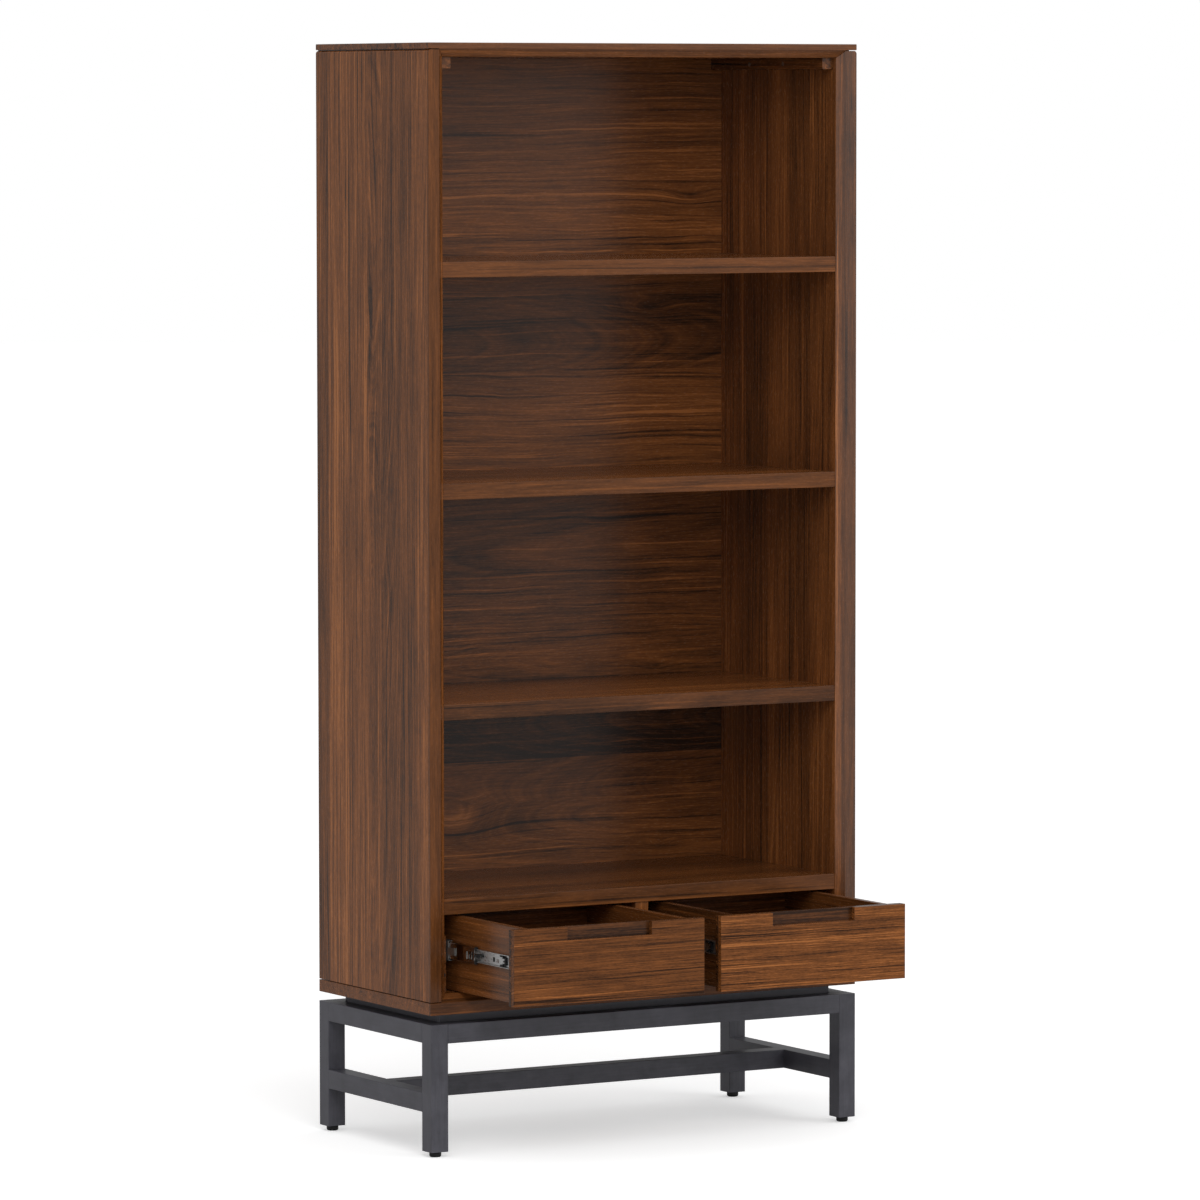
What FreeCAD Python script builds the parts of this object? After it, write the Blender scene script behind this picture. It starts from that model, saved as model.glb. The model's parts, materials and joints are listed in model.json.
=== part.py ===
import FreeCAD, Part
import os
import re
import Sketcher
from FreeCAD import Rotation, Vector

# A tall walnut bookcase on a welded steel stand: four open bays above two drawers.
# +Z is up, the front faces -Y, and the origin is on the floor at the middle of the stand.
# The drawers stand partly open at rest.

doc = FreeCAD.newDocument("bookcase")

# Driving dimensions in millimetres: alias, value, meaning.
DRIVING = (
    ("overall_height", 1829, "floor to the top face of the top board"),
    ("carcass_width", 827, "outside of one side panel to the outside of the other"),
    ("carcass_depth", 385, "front edge to rear edge of the boards"),
    ("bevel", 13, "45 degree bevel around the front opening, and its mitre"),
    ("side_flat", 20.5, "square part of a side panel's front edge"),
    ("top_flat", 10, "square part of the top board's front edge"),
    ("bottom_flat", 20.5, "square part of the bottom board's front edge"),
    ("top_reveal", 1.2, "shadow gap between the top board and a side panel"),
    ("bottom_reveal", 1.2, "shadow gap between the bottom board and a side panel"),
    ("panel_ease", 5, "rounding of a side panel's outer top edge"),
    ("shelf_thickness", 26, "shelves and the deck above the drawers"),
    ("divider_thickness", 26, "upright between the drawers"),
    ("divider_setback", 3, "front of the divider behind the shelf fronts"),
    ("drawer_opening", 130, "clear height of the drawer bays"),
    ("lower_bay", 294.5, "clear height above the drawer deck"),
    ("middle_bay", 337, "clear height above the lower shelf"),
    ("upper_bay", 337.5, "clear height above the middle shelf"),
    ("back_thickness", 4, "back panel"),
    ("back_rebate", 10, "how far the back panel laps onto the boards"),
    ("back_play", 0.5, "room around the back panel in its rebate"),
    ("cleat_width", 21, "top cleat, across"),
    ("cleat_height", 19, "top cleat, upright"),
    ("cleat_setback", 9, "top cleat behind the shelf fronts"),
    ("cleat_ease", 3, "rounding of a top cleat's lower inner edge"),
    ("base_width", 826, "outside of the stand, left to right"),
    ("base_depth", 387, "outside of the stand, front to back"),
    ("rail_top", 220, "floor to the top of the stand's rails"),
    ("tube_size", 32, "square steel tube of the stand"),
    ("tube_wall", 2, "wall of that tube"),
    ("tube_radius", 1, "outer corner radius of that tube"),
    ("leg_clearance", 9, "floor to the lower end of a leg"),
    ("end_plate", 4, "plate that closes the lower end of a leg"),
    ("stretcher_bottom", 73.5, "floor to the underside of the stretchers"),
    ("bar_rise", 15.5, "carrier bars above the rails"),
    ("bar_height", 40, "carrier bar, upright"),
    ("bar_width", 20, "carrier bar, across"),
    ("bar_wall", 1.5, "wall of a carrier bar"),
    ("bar_radius", 3, "rounding of a carrier bar's outer corner"),
    ("glide_diameter", 20, "disc of a glide"),
    ("glide_ease", 1.5, "bevel of a glide's lower edge"),
    ("stud_diameter", 8, "stud of a glide, in the leg's end plate"),
    ("stud_length", 16, "stud of a glide"),
    ("drawer_opened", 225, "how far the drawers stand open"),
    ("drawer_travel", 300, "full travel of a drawer"),
    ("face_thickness", 10, "show face of a drawer front"),
    ("backing_thickness", 8, "backing board behind the face"),
    ("gap_side", 3, "drawer front to the bay's sides"),
    ("gap_below", 1.5, "drawer front to the bottom board"),
    ("gap_above", 3.5, "drawer front to the deck"),
    ("notch_width", 160, "finger notch in the face"),
    ("notch_height", 22, "finger notch in the face"),
    ("box_length", 314, "drawer box behind the backing"),
    ("box_wall", 12, "sides and back of a drawer box"),
    ("box_base", 5, "drawer bottom"),
    ("base_raise", 10, "drawer bottom above the box's lower edge"),
    ("groove_depth", 5, "groove that holds the drawer bottom"),
    ("groove_play", 0.3, "room around the drawer bottom in its groove"),
    ("packer_thickness", 14.5, "packer between a bay's side and its runner"),
    ("packer_height", 93, "packer, upright"),
    ("packer_length", 330, "packer, front to back"),
    ("front_clearance", 2, "packer and runner behind a closed drawer front"),
    ("bumper_thickness", 1.7, "rubber bumper on a packer's front end"),
    ("bumper_diameter", 7, "rubber bumper"),
    ("bumper_height", 28.5, "bumper above the bottom board"),
    ("bumper_inset", 2, "bumper to the packer's runner side"),
    ("runner_height", 68.5, "middle of the runners above the bottom board"),
    ("runner_length", 300, "outer and inner member of a runner"),
    ("runner_width", 12.7, "runner, from packer to drawer side"),
    ("runner_play", 1, "inner member behind the drawer's backing"),
    ("middle_setback", 25, "middle member behind the outer member, closed"),
    ("runner_gauge", 1.2, "sheet steel of the runner members"),
    ("outer_half", 18, "half height of the outer member"),
    ("outer_lip", 9.5, "depth of the outer member's channel"),
    ("middle_half", 14.4, "half height of the middle member"),
    ("middle_start", 3.4, "middle member's web from the packer"),
    ("middle_lip", 10.5, "middle member's flanges end here, from the packer"),
    ("inner_half", 11, "half height of the inner member"),
    ("inner_start", 6.4, "inner member's flanges start here, from the packer"),
    ("cage_play", 0.3, "ball cage to the members it runs between"),
    ("cage_gauge", 0.7, "sheet of a ball cage"),
    ("outer_cage_length", 190, "cage between outer and middle member"),
    ("outer_cage_setback", 30, "that cage behind the outer member, closed"),
    ("inner_cage_length", 120, "cage between middle and inner member"),
    ("inner_cage_setback", 102.5, "that cage behind the outer member, closed"),
    ("runner_screw", 10, "screw that holds a runner member"),
    ("dowel_diameter", 8, "hardwood dowel"),
    ("dowel_length", 35, "hardwood dowel"),
    ("dowel_seat", 14, "dowel inside the side panel, deck or bottom board"),
    ("dowel_inset", 45, "first dowel behind a board's front edge"),
    ("bore_play", 0.1, "radial room around dowels and screws"),
    ("end_play", 1, "bore past the end of a dowel"),
    ("screw_diameter", 4, "wood screw"),
    ("screw_head", 7.5, "countersunk head of a wood screw"),
    ("screw_bite", 12, "wood screw in the far piece"),
    ("pin_diameter", 3, "back panel screw"),
    ("pin_head", 6, "countersunk head of a back panel screw"),
    ("pin_length", 16, "back panel screw"),
    ("pin_rows", 5, "back panel screws along each side"),
    ("bolt_diameter", 6, "base bolt"),
    ("bolt_head", 10, "head of a base bolt"),
    ("bolt_head_height", 4, "head of a base bolt"),
    ("bolt_bite", 12, "base bolt inside its insert"),
    ("bolt_spacing", 280, "base bolts along a carrier bar"),
    ("insert_diameter", 9, "threaded insert"),
    ("insert_length", 13, "threaded insert"),
)

# Places worked out from the driving dimensions.
DERIVED = (
    ("half_width", "Sizes.carcass_width / 2"),
    ("front", "-Sizes.carcass_depth / 2"),
    ("shelf_front", "front + Sizes.bevel"),
    ("rear", "Sizes.carcass_depth / 2"),
    ("back_face", "rear - Sizes.back_thickness"),
    ("shelf_depth", "back_face - shelf_front"),
    ("side_thickness", "Sizes.side_flat + Sizes.bevel"),
    ("side_inner", "half_width - side_thickness"),
    ("carcass_bottom", "Sizes.rail_top + Sizes.bar_rise"),
    ("bottom_joint", "carcass_bottom + Sizes.bottom_flat"),
    ("bay_floor", "bottom_joint + Sizes.bevel"),
    ("top_joint", "Sizes.overall_height - Sizes.top_flat"),
    ("ceiling", "top_joint - Sizes.bevel"),
    ("deck_bottom", "bay_floor + Sizes.drawer_opening"),
    ("deck_top", "deck_bottom + Sizes.shelf_thickness"),
    ("lower_bottom", "deck_top + Sizes.lower_bay"),
    ("lower_top", "lower_bottom + Sizes.shelf_thickness"),
    ("middle_bottom", "lower_top + Sizes.middle_bay"),
    ("middle_top", "middle_bottom + Sizes.shelf_thickness"),
    ("upper_bottom", "middle_top + Sizes.upper_bay"),
    ("divider_half", "Sizes.divider_thickness / 2"),
    ("divider_front", "shelf_front + Sizes.divider_setback"),
    ("bay_width", "side_inner - divider_half"),
    ("bay_centre", "(side_inner + divider_half) / 2"),
    ("front_half", "bay_width / 2 - Sizes.gap_side"),
    ("front_bottom", "bay_floor + Sizes.gap_below"),
    ("front_height", "Sizes.drawer_opening - Sizes.gap_below - Sizes.gap_above"),
    ("face_front", "shelf_front - Sizes.drawer_opened"),
    ("backing_front", "face_front + Sizes.face_thickness"),
    ("box_front", "backing_front + Sizes.backing_thickness"),
    ("runner_half", "bay_width / 2 - Sizes.packer_thickness"),
    ("box_half", "runner_half - Sizes.runner_width"),
    ("packer_front", "box_front + Sizes.drawer_opened + Sizes.front_clearance"),
    ("runner_level", "bay_floor + Sizes.runner_height"),
    ("base_half_width", "Sizes.base_width / 2"),
    ("base_half_depth", "Sizes.base_depth / 2"),
    ("stand_inner_x", "base_half_width - Sizes.tube_size"),
    ("stand_inner_y", "base_half_depth - Sizes.tube_size"),
    ("rail_bottom", "Sizes.rail_top - Sizes.tube_size"),
    ("bar_bottom", "carcass_bottom - Sizes.bar_height"),
    ("bolt_line", "stand_inner_y - Sizes.bar_width / 2"),
    ("dowel_radius", "Sizes.dowel_diameter / 2"),
    ("dowel_step", "(shelf_depth - 2 * Sizes.dowel_inset) / 2"),
)


def fill_sheet(name, rows, mark):
    """Write one alias per row and return the sheet."""
    sheet = doc.addObject("Spreadsheet::Sheet", name)
    for number, row in enumerate(rows, start=1):
        sheet.set(f"A{number}", row[0])
        sheet.set(f"B{number}", mark + str(row[1]))
        sheet.setAlias(f"B{number}", row[0])
        if len(row) > 2:
            sheet.set(f"C{number}", row[2])
    return sheet


sizes = fill_sheet("Sizes", DRIVING, "")
places = fill_sheet("Places", DERIVED, "=")
doc.recompute()

WORDS = {row[0]: "Sizes." + row[0] for row in DRIVING}
WORDS.update({row[0]: "Places." + row[0] for row in DERIVED})


def formula(text):
    """Turn a line of plain words into an expression on the two sheets."""
    return re.sub(r"[a-z][a-z_]*", lambda found: WORDS.get(found.group(), found.group()), str(text))


def value(text):
    """The number that a line of plain words has now."""
    return float(sizes.evalExpression(formula(text)))


def bind(item, **properties):
    """Bind an object's properties; a double underscore stands for a dot."""
    for name, text in properties.items():
        item.setExpression(name.replace("__", "."), formula(text))


def put(item, x=0, y=0, z=0):
    """Bind the place of an object."""
    bind(item, Placement__Base__x=x, Placement__Base__y=y, Placement__Base__z=z)
    return item


def name_it(item, label):
    item.Label = label
    return item


def block(label, low, size):
    """A rectangular block from its lowest corner."""
    item = name_it(doc.addObject("Part::Box", "block"), label)
    bind(item, Length=size[0], Width=size[1], Height=size[2])
    return put(item, *low)


TURNS = {
    "x": Rotation(Vector(0, 1, 0), 90),
    "-x": Rotation(Vector(0, 1, 0), -90),
    "y": Rotation(Vector(1, 0, 0), -90),
    "-y": Rotation(Vector(1, 0, 0), 90),
    "z": Rotation(),
    "-z": Rotation(Vector(1, 0, 0), 180),
}


def rod(start, way, radius, length, label="rod"):
    """A round rod that runs from start along way."""
    item = name_it(doc.addObject("Part::Cylinder", "rod"), label)
    bind(item, Radius=radius, Height=length)
    item.Placement.Rotation = TURNS[way]
    return put(item, *start)


def countersink(start, way, wide, narrow, length):
    """A cone that starts wide and narrows along way."""
    item = doc.addObject("Part::Cone", "countersink")
    bind(item, Radius1=wide, Radius2=narrow, Height=length)
    item.Placement.Rotation = TURNS[way]
    return put(item, *start)


def gather(items, label):
    """Separate solids as one group."""
    group = name_it(doc.addObject("Part::Compound", "group"), label)
    group.Links = items
    return group


def join(items, label):
    """Solids made one."""
    whole = name_it(doc.addObject("Part::MultiFuse", "whole"), label)
    whole.Shapes = items
    return whole


def cut(base, tools, label):
    """Take tools away from base."""
    base.Label = label + "_blank"
    result = name_it(doc.addObject("Part::Cut", "cut"), label)
    result.Base = base
    result.Tool = tools[0] if len(tools) == 1 else gather(tools, label + "_tools")
    return result


def mirrored(source, label):
    """The same piece on the other side of the middle plane."""
    item = name_it(doc.addObject("Part::Mirroring", "mirror"), label)
    item.Source = source
    item.Normal = Vector(1, 0, 0)
    return item


def plane_of(body, role):
    return next(item for item in body.Origin.OriginFeatures if item.Role == role)


def outline(body, plane, corners):
    """A sketch of closed outlines whose corners are bound to the sheets."""
    sketch = body.newObject("Sketcher::SketchObject", "outline")
    sketch.AttachmentSupport = [(plane_of(body, plane), "")]
    sketch.MapMode = "FlatFace"
    for loop in corners:
        points = [Vector(value(u), value(v), 0) for u, v in loop]
        first = sketch.GeometryCount
        count = len(points)
        for index in range(count):
            sketch.addGeometry(Part.LineSegment(points[index], points[(index + 1) % count]))
        for index in range(count):
            line, following = first + index, first + (index + 1) % count
            sketch.addConstraint(Sketcher.Constraint("Coincident", line, 2, following, 1))
        for index, (u, v) in enumerate(loop):
            for kind, text, number in (("DistanceX", u, points[index].x), ("DistanceY", v, points[index].y)):
                name = f"{kind[-1].lower()}{first + index}"
                place = sketch.addConstraint(Sketcher.Constraint(kind, -1, 1, first + index, 1, number))
                sketch.renameConstraint(place, name)
                sketch.setExpression("Constraints." + name, formula(text))
    return sketch


def pad(label, plane, corners, length, at, reverse=False):
    """A body padded from outlines, its origin at the place given."""
    body = name_it(doc.addObject("PartDesign::Body", "body"), label)
    feature = body.newObject("PartDesign::Pad", "pad")
    feature.Profile = outline(body, plane, corners)
    feature.Reversed = reverse
    bind(feature, Length=length)
    body.Tip = feature
    put(body, *at)
    return body


def pocket(body, plane, corners):
    """Cut outlines right through the body, both ways from the plane."""
    feature = body.newObject("PartDesign::Pocket", "pocket")
    feature.Profile = outline(body, plane, corners)
    feature.Type = "ThroughAll"
    feature.SideType = "Symmetric"
    body.Tip = feature
    return body


def ease(body, radius, wanted):
    """Round the edges whose middle point and direction are wanted."""
    doc.recompute()
    base = body.Tip
    names = []
    for index, edge in enumerate(base.Shape.Edges, start=1):
        if edge.Curve.TypeId != "Part::GeomLine":
            continue
        middle = edge.valueAt((edge.FirstParameter + edge.LastParameter) / 2)
        if wanted(middle, edge.tangentAt(edge.FirstParameter)):
            names.append(f"Edge{index}")
    feature = body.newObject("PartDesign::Fillet", "ease")
    feature.Base = (base, names)
    bind(feature, Radius=radius)
    body.Tip = feature
    return body


def close(first, second):
    return abs(first - second) < 1e-4


def rectangle(u0, v0, u1, v1):
    return ((u0, v0), (u1, v0), (u1, v1), (u0, v1))


nodes = []


def keep(item):
    """Mark a finished piece, which is written under its label."""
    nodes.append(item)
    return item


BACKWARDS = {"x": "-x", "-x": "x", "y": "-y", "-y": "y", "z": "-z", "-z": "z"}


def shifted(spot, way, distance):
    """A spot moved along way."""
    move = list(spot)
    index = "xyz".index(way[-1])
    sign = "-" if way.startswith("-") else "+"
    move[index] = f"{spot[index]} {sign} ( {distance} )"
    return tuple(move)


def flat_screw(spot, way, length, shank="screw_diameter", head="screw_head"):
    """A countersunk screw driven along way, flush at the spot, and the bore it needs."""
    cone = f"( {head} - {shank} ) / 2"
    screw = join([countersink(spot, way, f"{head} / 2", f"{shank} / 2", cone),
                  rod(shifted(spot, way, cone), way, f"{shank} / 2", f"{length} - {cone}")], "screw")
    bore = join([countersink(spot, way, f"{head} / 2 + bore_play", f"{shank} / 2 + bore_play", cone),
                 rod(spot, way, f"{shank} / 2 + bore_play", f"{length} + end_play")], "bore")
    return screw, bore


def dowel(spot, way):
    """A dowel across a joint and its bore; way points out of the board that holds the seat."""
    seat = shifted(spot, BACKWARDS[way], "dowel_seat")
    deep = shifted(spot, BACKWARDS[way], "dowel_seat + end_play")
    peg = rod(seat, way, "dowel_radius", "dowel_length")
    bore = rod(deep, way, "dowel_radius + bore_play", "dowel_length + 2 * end_play")
    return peg, bore


def dowel_row(x, z, way):
    """Three dowels from front to back, and their bores."""
    steps = [f"shelf_front + dowel_inset + {step} * dowel_step" for step in range(3)]
    pairs = [dowel((x, along, z), way) for along in steps]
    return [peg for peg, _ in pairs], [bore for _, bore in pairs]


# What crosses the carcass joints.
# Bores are made once and cut from both pieces. Those of the right side panel and the right
# cleat come from the left ones, which are mirrored.

pegs = []
bores = {name: [] for name in ("side", "top", "bottom", "back", "divider", "cleat", "upper_shelf",
                               "middle_shelf", "lower_shelf", "drawer_deck")}

SHELVES = (("upper_shelf", "upper_bottom"), ("middle_shelf", "middle_bottom"),
           ("lower_shelf", "lower_bottom"), ("drawer_deck", "deck_bottom"))
for label, level in SHELVES:
    for x, way in (("-side_inner", "x"), ("side_inner", "-x")):
        row, holes = dowel_row(x, f"{level} + shelf_thickness / 2", way)
        pegs += row
        bores[label] += holes
        if way == "x":
            bores["side"] += holes

for level, way, board in (("bay_floor", "z", "bottom"), ("deck_bottom", "-z", "drawer_deck")):
    row, holes = dowel_row("0", level, way)
    pegs += row
    bores["divider"] += holes
    bores[board] += holes

for sign in ("-", ""):
    row, holes = dowel_row(f"{sign} ( half_width - side_flat / 2 )", "bottom_joint", "z")
    pegs += row
    bores["bottom"] += holes
    if sign:
        bores["side"] += holes
keep(gather(pegs, "panel_dowels"))

# Each top cleat is screwed up into the top board and sideways into its side panel.
cleat_front = "( shelf_front + cleat_setback )"
cleat_length = "( shelf_depth - cleat_setback )"
screws = []
for sign in ("-", ""):
    for share in ("0.2", "0.8"):
        spot = (f"{sign} ( side_inner - cleat_width / 2 )", f"{cleat_front} + {cleat_length} * {share}",
                "ceiling - cleat_height")
        screw, bore = flat_screw(spot, "z", "cleat_height + screw_bite")
        screws.append(screw)
        bores["top"].append(bore)
        if sign:
            bores["cleat"].append(bore)
    for share in ("0.35", "0.65"):
        spot = (f"{sign} ( side_inner - cleat_width )", f"{cleat_front} + {cleat_length} * {share}",
                "ceiling - cleat_height / 2")
        screw, bore = flat_screw(spot, sign + "x", "cleat_width + screw_bite")
        screws.append(screw)
        if sign:
            bores["cleat"].append(bore)
            bores["side"].append(bore)
keep(gather(screws, "cleat_screws"))

# The back panel is screwed into the side panels' rebates.
screws = []
rows = int(value("pin_rows"))
for sign in ("-", ""):
    for row in range(rows):
        height = f"bay_floor + ( ceiling - bay_floor ) * {(row + 0.5) / rows}"
        spot = (f"{sign} ( side_inner + back_rebate / 2 )", "rear", height)
        screw, bore = flat_screw(spot, "-y", "pin_length", "pin_diameter", "pin_head")
        screws.append(screw)
        bores["back"].append(bore)
        if sign:
            bores["side"].append(bore)
keep(gather(screws, "back_panel_screws"))

# The walls of the two bays: bay, the way from the wall towards the drawer, the wall's X.
WALLS = (("left", "x", "-side_inner"), ("left", "-x", "-divider_half"),
         ("right", "x", "divider_half"), ("right", "-x", "side_inner"))


def off_wall(wall, way, distance):
    """An X place measured from a bay wall towards the drawer."""
    return f"{wall} {'-' if way == '-x' else '+'} ( {distance} )"


def beside(wall, way, near, far, low, size):
    """A block between two distances from a bay wall; low and size give Y and Z."""
    start = off_wall(wall, way, near if way == "x" else far)
    return (start, low[0], low[1]), (f"{far} - ( {near} )", size[0], size[1])


def channel(wall, way, web, inside, lip, half, flange):
    """Outline of a channel: its web between two distances off the packer, its flanges to lip."""
    def place(distance, level):
        return off_wall(wall, way, f"packer_thickness + {distance}"), f"runner_level {level}"
    top, under = f"+ ( {half} )", f"+ ( {half} - ( {flange} ) )"
    low, over = f"- ( {half} )", f"- ( {half} - ( {flange} ) )"
    return (place(web, low), place(lip, low), place(lip, over), place(inside, over),
            place(inside, under), place(lip, under), place(lip, top), place(web, top))


outer_inside = "outer_half - runner_gauge"
middle_inside = "middle_half - runner_gauge"
outer_cage_web = "( runner_gauge + middle_start - cage_gauge ) / 2"
inner_cage_web = "( middle_start + runner_gauge + inner_start - cage_gauge ) / 2"
middle_front = "packer_front + middle_setback - drawer_opened / 2"

# Member, its outline and where it starts and how long it is. A ball cage travels half as far
# as the two members that it runs between.
MEMBERS = (
    ("outer_runners", ("0", "runner_gauge", "outer_lip", "outer_half", "runner_gauge"),
     "packer_front", "runner_length"),
    ("outer_cages", (outer_cage_web, outer_cage_web + " + cage_gauge", "outer_lip",
                     f"{outer_inside} - cage_play", f"{outer_inside} - middle_half - 2 * cage_play"),
     "packer_front + outer_cage_setback - drawer_opened / 4", "outer_cage_length"),
    ("middle_runners", ("middle_start", "middle_start + runner_gauge", "middle_lip", "middle_half",
                        "runner_gauge"),
     middle_front, "runner_length - middle_setback"),
    ("inner_cages", (inner_cage_web, inner_cage_web + " + cage_gauge", "middle_lip",
                     f"{middle_inside} - cage_play", f"{middle_inside} - inner_half - 2 * cage_play"),
     "packer_front + inner_cage_setback - drawer_opened * 3 / 4", "inner_cage_length"),
    ("inner_runners", ("runner_width", "runner_width - runner_gauge", "inner_start", "inner_half",
                       "runner_gauge"),
     "box_front + runner_play", "runner_length"),
)

packer_screws = []
runner_screws = []
bumpers = []
drawer_screws = {"left": [], "right": []}
drawer_side_bores = {"left": {"x": [], "-x": []}, "right": {"x": [], "-x": []}}
packers = {"left": [], "right": []}
members = {}

for bay, way, wall in WALLS:
    at_divider = wall.endswith("divider_half")
    back_way = BACKWARDS[way]
    face = off_wall(wall, way, "packer_thickness")
    packer_bores = []
    for share in ("0.15", "0.85"):
        spot = (face, f"packer_front + packer_length * {share}", "bay_floor + packer_height / 5")
        if at_divider:
            spot = shifted(spot, "z", "screw_head * " + ("0.5" if bay == "left" else "-0.5"))
        screw, bore = flat_screw(spot, back_way, "packer_thickness + screw_bite")
        packer_screws.append(screw)
        packer_bores.append(bore)
        if at_divider:
            bores["divider"].append(bore)
        elif bay == "left":
            bores["side"].append(bore)

    runner_bores = []
    for share in ("0.2", "0.8"):
        spot = (off_wall(wall, way, "packer_thickness + runner_gauge"),
                f"packer_front + runner_length * {share}", "runner_level")
        screw, bore = flat_screw(spot, back_way, "runner_screw")
        runner_screws.append(screw)
        packer_bores.append(bore)
        runner_bores.append(bore)

    low, size = beside(wall, way, "0", "packer_thickness", ("packer_front", "bay_floor"),
                       ("packer_length", "packer_height"))
    packers[bay].append(cut(block("packer", low, size), packer_bores, "packer"))
    bumpers.append(rod((off_wall(wall, way, "packer_thickness - bumper_inset - bumper_diameter / 2"),
                        "packer_front", "bay_floor + bumper_height"), "-y", "bumper_diameter / 2",
                       "bumper_thickness"))

    inner_bores = []
    for share in ("0.1", "0.8"):
        spot = (off_wall(wall, way, "packer_thickness + runner_width - runner_gauge"),
                f"box_front + runner_play + runner_length * {share}", "runner_level")
        screw, bore = flat_screw(spot, way, "runner_screw")
        drawer_screws[bay].append(screw)
        inner_bores.append(bore)
        drawer_side_bores[bay][way].append(bore)

    for member, shape, start, length in MEMBERS:
        item = pad(member, "XZ_Plane", [channel(wall, way, *shape)], length, ("0", start, "0"), True)
        if member == "outer_runners":
            item = cut(item, runner_bores, member + "_one")
        if member == "inner_runners":
            item = cut(item, inner_bores, member + "_one")
        members.setdefault((bay, member), []).append(item)

keep(gather(packer_screws, "packer_screws"))
keep(gather(runner_screws, "runner_screws"))
keep(gather(bumpers, "drawer_bumpers"))
for bay in ("left", "right"):
    keep(gather(packers[bay], bay + "_bay_packers"))
for (bay, member), pair in members.items():
    keep(gather(pair, f"{bay}_{member}"))

for label, level in SHELVES:
    shelf = block(label, ("-side_inner", "shelf_front", level),
                  ("2 * side_inner", "shelf_depth", "shelf_thickness"))
    keep(cut(shelf, bores[label], label))

divider = block("drawer_divider", ("-divider_half", "divider_front", "bay_floor"),
                ("divider_thickness", "shelf_depth - divider_setback", "drawer_opening"))
keep(cut(divider, bores["divider"], "drawer_divider"))

lap = "( back_rebate - back_play )"
back = block("back_panel", (f"-side_inner - {lap}", "back_face", f"bay_floor - {lap}"),
             (f"2 * ( side_inner + {lap} )", "back_thickness", f"ceiling - bay_floor + 2 * {lap}"))
keep(cut(back, bores["back"], "back_panel"))

# A side panel has a bevelled front edge, a rebate for the back and mitred ends. Outside each
# mitre the panel ends square, with a narrow reveal to the board above or below it.
panel_height = "( top_joint - bottom_joint )"
beyond = "side_thickness + end_play"
panel = pad("left_side_panel", "XY_Plane",
            [(("0", "0"), ("side_flat", "0"), ("side_thickness", "bevel"),
              ("side_thickness", "carcass_depth - back_thickness"),
              ("side_thickness - back_rebate", "carcass_depth - back_thickness"),
              ("side_thickness - back_rebate", "carcass_depth"), ("0", "carcass_depth"))],
            panel_height, ("-half_width", "front", "bottom_joint"))
pocket(panel, "XZ_Plane",
       [(("-end_play", "-end_play"), (beyond, "-end_play"), (beyond, "bevel + end_play"),
         ("side_flat", "0"), ("side_flat", "bottom_reveal"), ("-end_play", "bottom_reveal")),
        (("-end_play", f"{panel_height} + end_play"), (beyond, f"{panel_height} + end_play"),
         (beyond, f"{panel_height} - bevel - end_play"), ("side_flat", panel_height),
         ("side_flat", f"{panel_height} - top_reveal"), ("-end_play", f"{panel_height} - top_reveal"))])
level = value(f"{panel_height} - top_reveal")
ease(panel, "panel_ease", lambda middle, way: close(middle.x, 0) and close(middle.z, level))
left_panel = keep(cut(panel, bores["side"], "left_side_panel"))
keep(mirrored(left_panel, "right_side_panel"))

rear_edge = "carcass_depth - back_thickness"
top = pad("top_board", "YZ_Plane",
          [(("0", "bevel"), ("bevel", "0"), (rear_edge, "0"), (rear_edge, "back_rebate"),
            ("carcass_depth", "back_rebate"), ("carcass_depth", "bevel + top_flat"),
            ("0", "bevel + top_flat"))],
          "carcass_width", ("-half_width", "front", "ceiling"))
pocket(top, "XZ_Plane",
       [(("-end_play", "-end_play"), (beyond, "-end_play"), ("side_flat", "bevel"),
         ("-end_play", "bevel")),
        (("carcass_width + end_play", "-end_play"), (f"carcass_width - ( {beyond} )", "-end_play"),
         ("carcass_width - side_flat", "bevel"), ("carcass_width + end_play", "bevel"))])
keep(cut(top, bores["top"], "top_board"))

# Bolts go up through the carrier bars into threaded inserts in the bottom board.
bolts, inserts, bolt_bores, insert_bores = [], [], {"-": [], "": []}, []
for sign in ("-", ""):
    for step in ("-1", "0", "1"):
        low = (f"bolt_spacing * {step}", f"{sign} ( bolt_line )", "bar_bottom")
        high = (low[0], low[1], "carcass_bottom")
        head = rod(shifted(low, "-z", "bolt_head_height"), "z", "bolt_head / 2", "bolt_head_height")
        shank = rod(low, "z", "bolt_diameter / 2", "bar_height + bolt_bite")
        bolts.append(join([head, shank], "bolt"))
        bolt_bores[sign].append(rod(shifted(low, "-z", "end_play"), "z", "bolt_diameter / 2 + bore_play",
                                    "bar_height + 2 * end_play"))
        tapped = rod(shifted(high, "-z", "end_play"), "z", "bolt_diameter / 2 + bore_play",
                     "insert_length + 2 * end_play")
        inserts.append(cut(rod(high, "z", "insert_diameter / 2", "insert_length"), [tapped], "insert"))
        insert_bores.append(rod(shifted(high, "-z", "end_play"), "z", "insert_diameter / 2 + bore_play",
                                "insert_length + 2 * end_play"))
keep(gather(bolts, "base_bolts"))
keep(gather(inserts, "base_inserts"))

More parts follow.
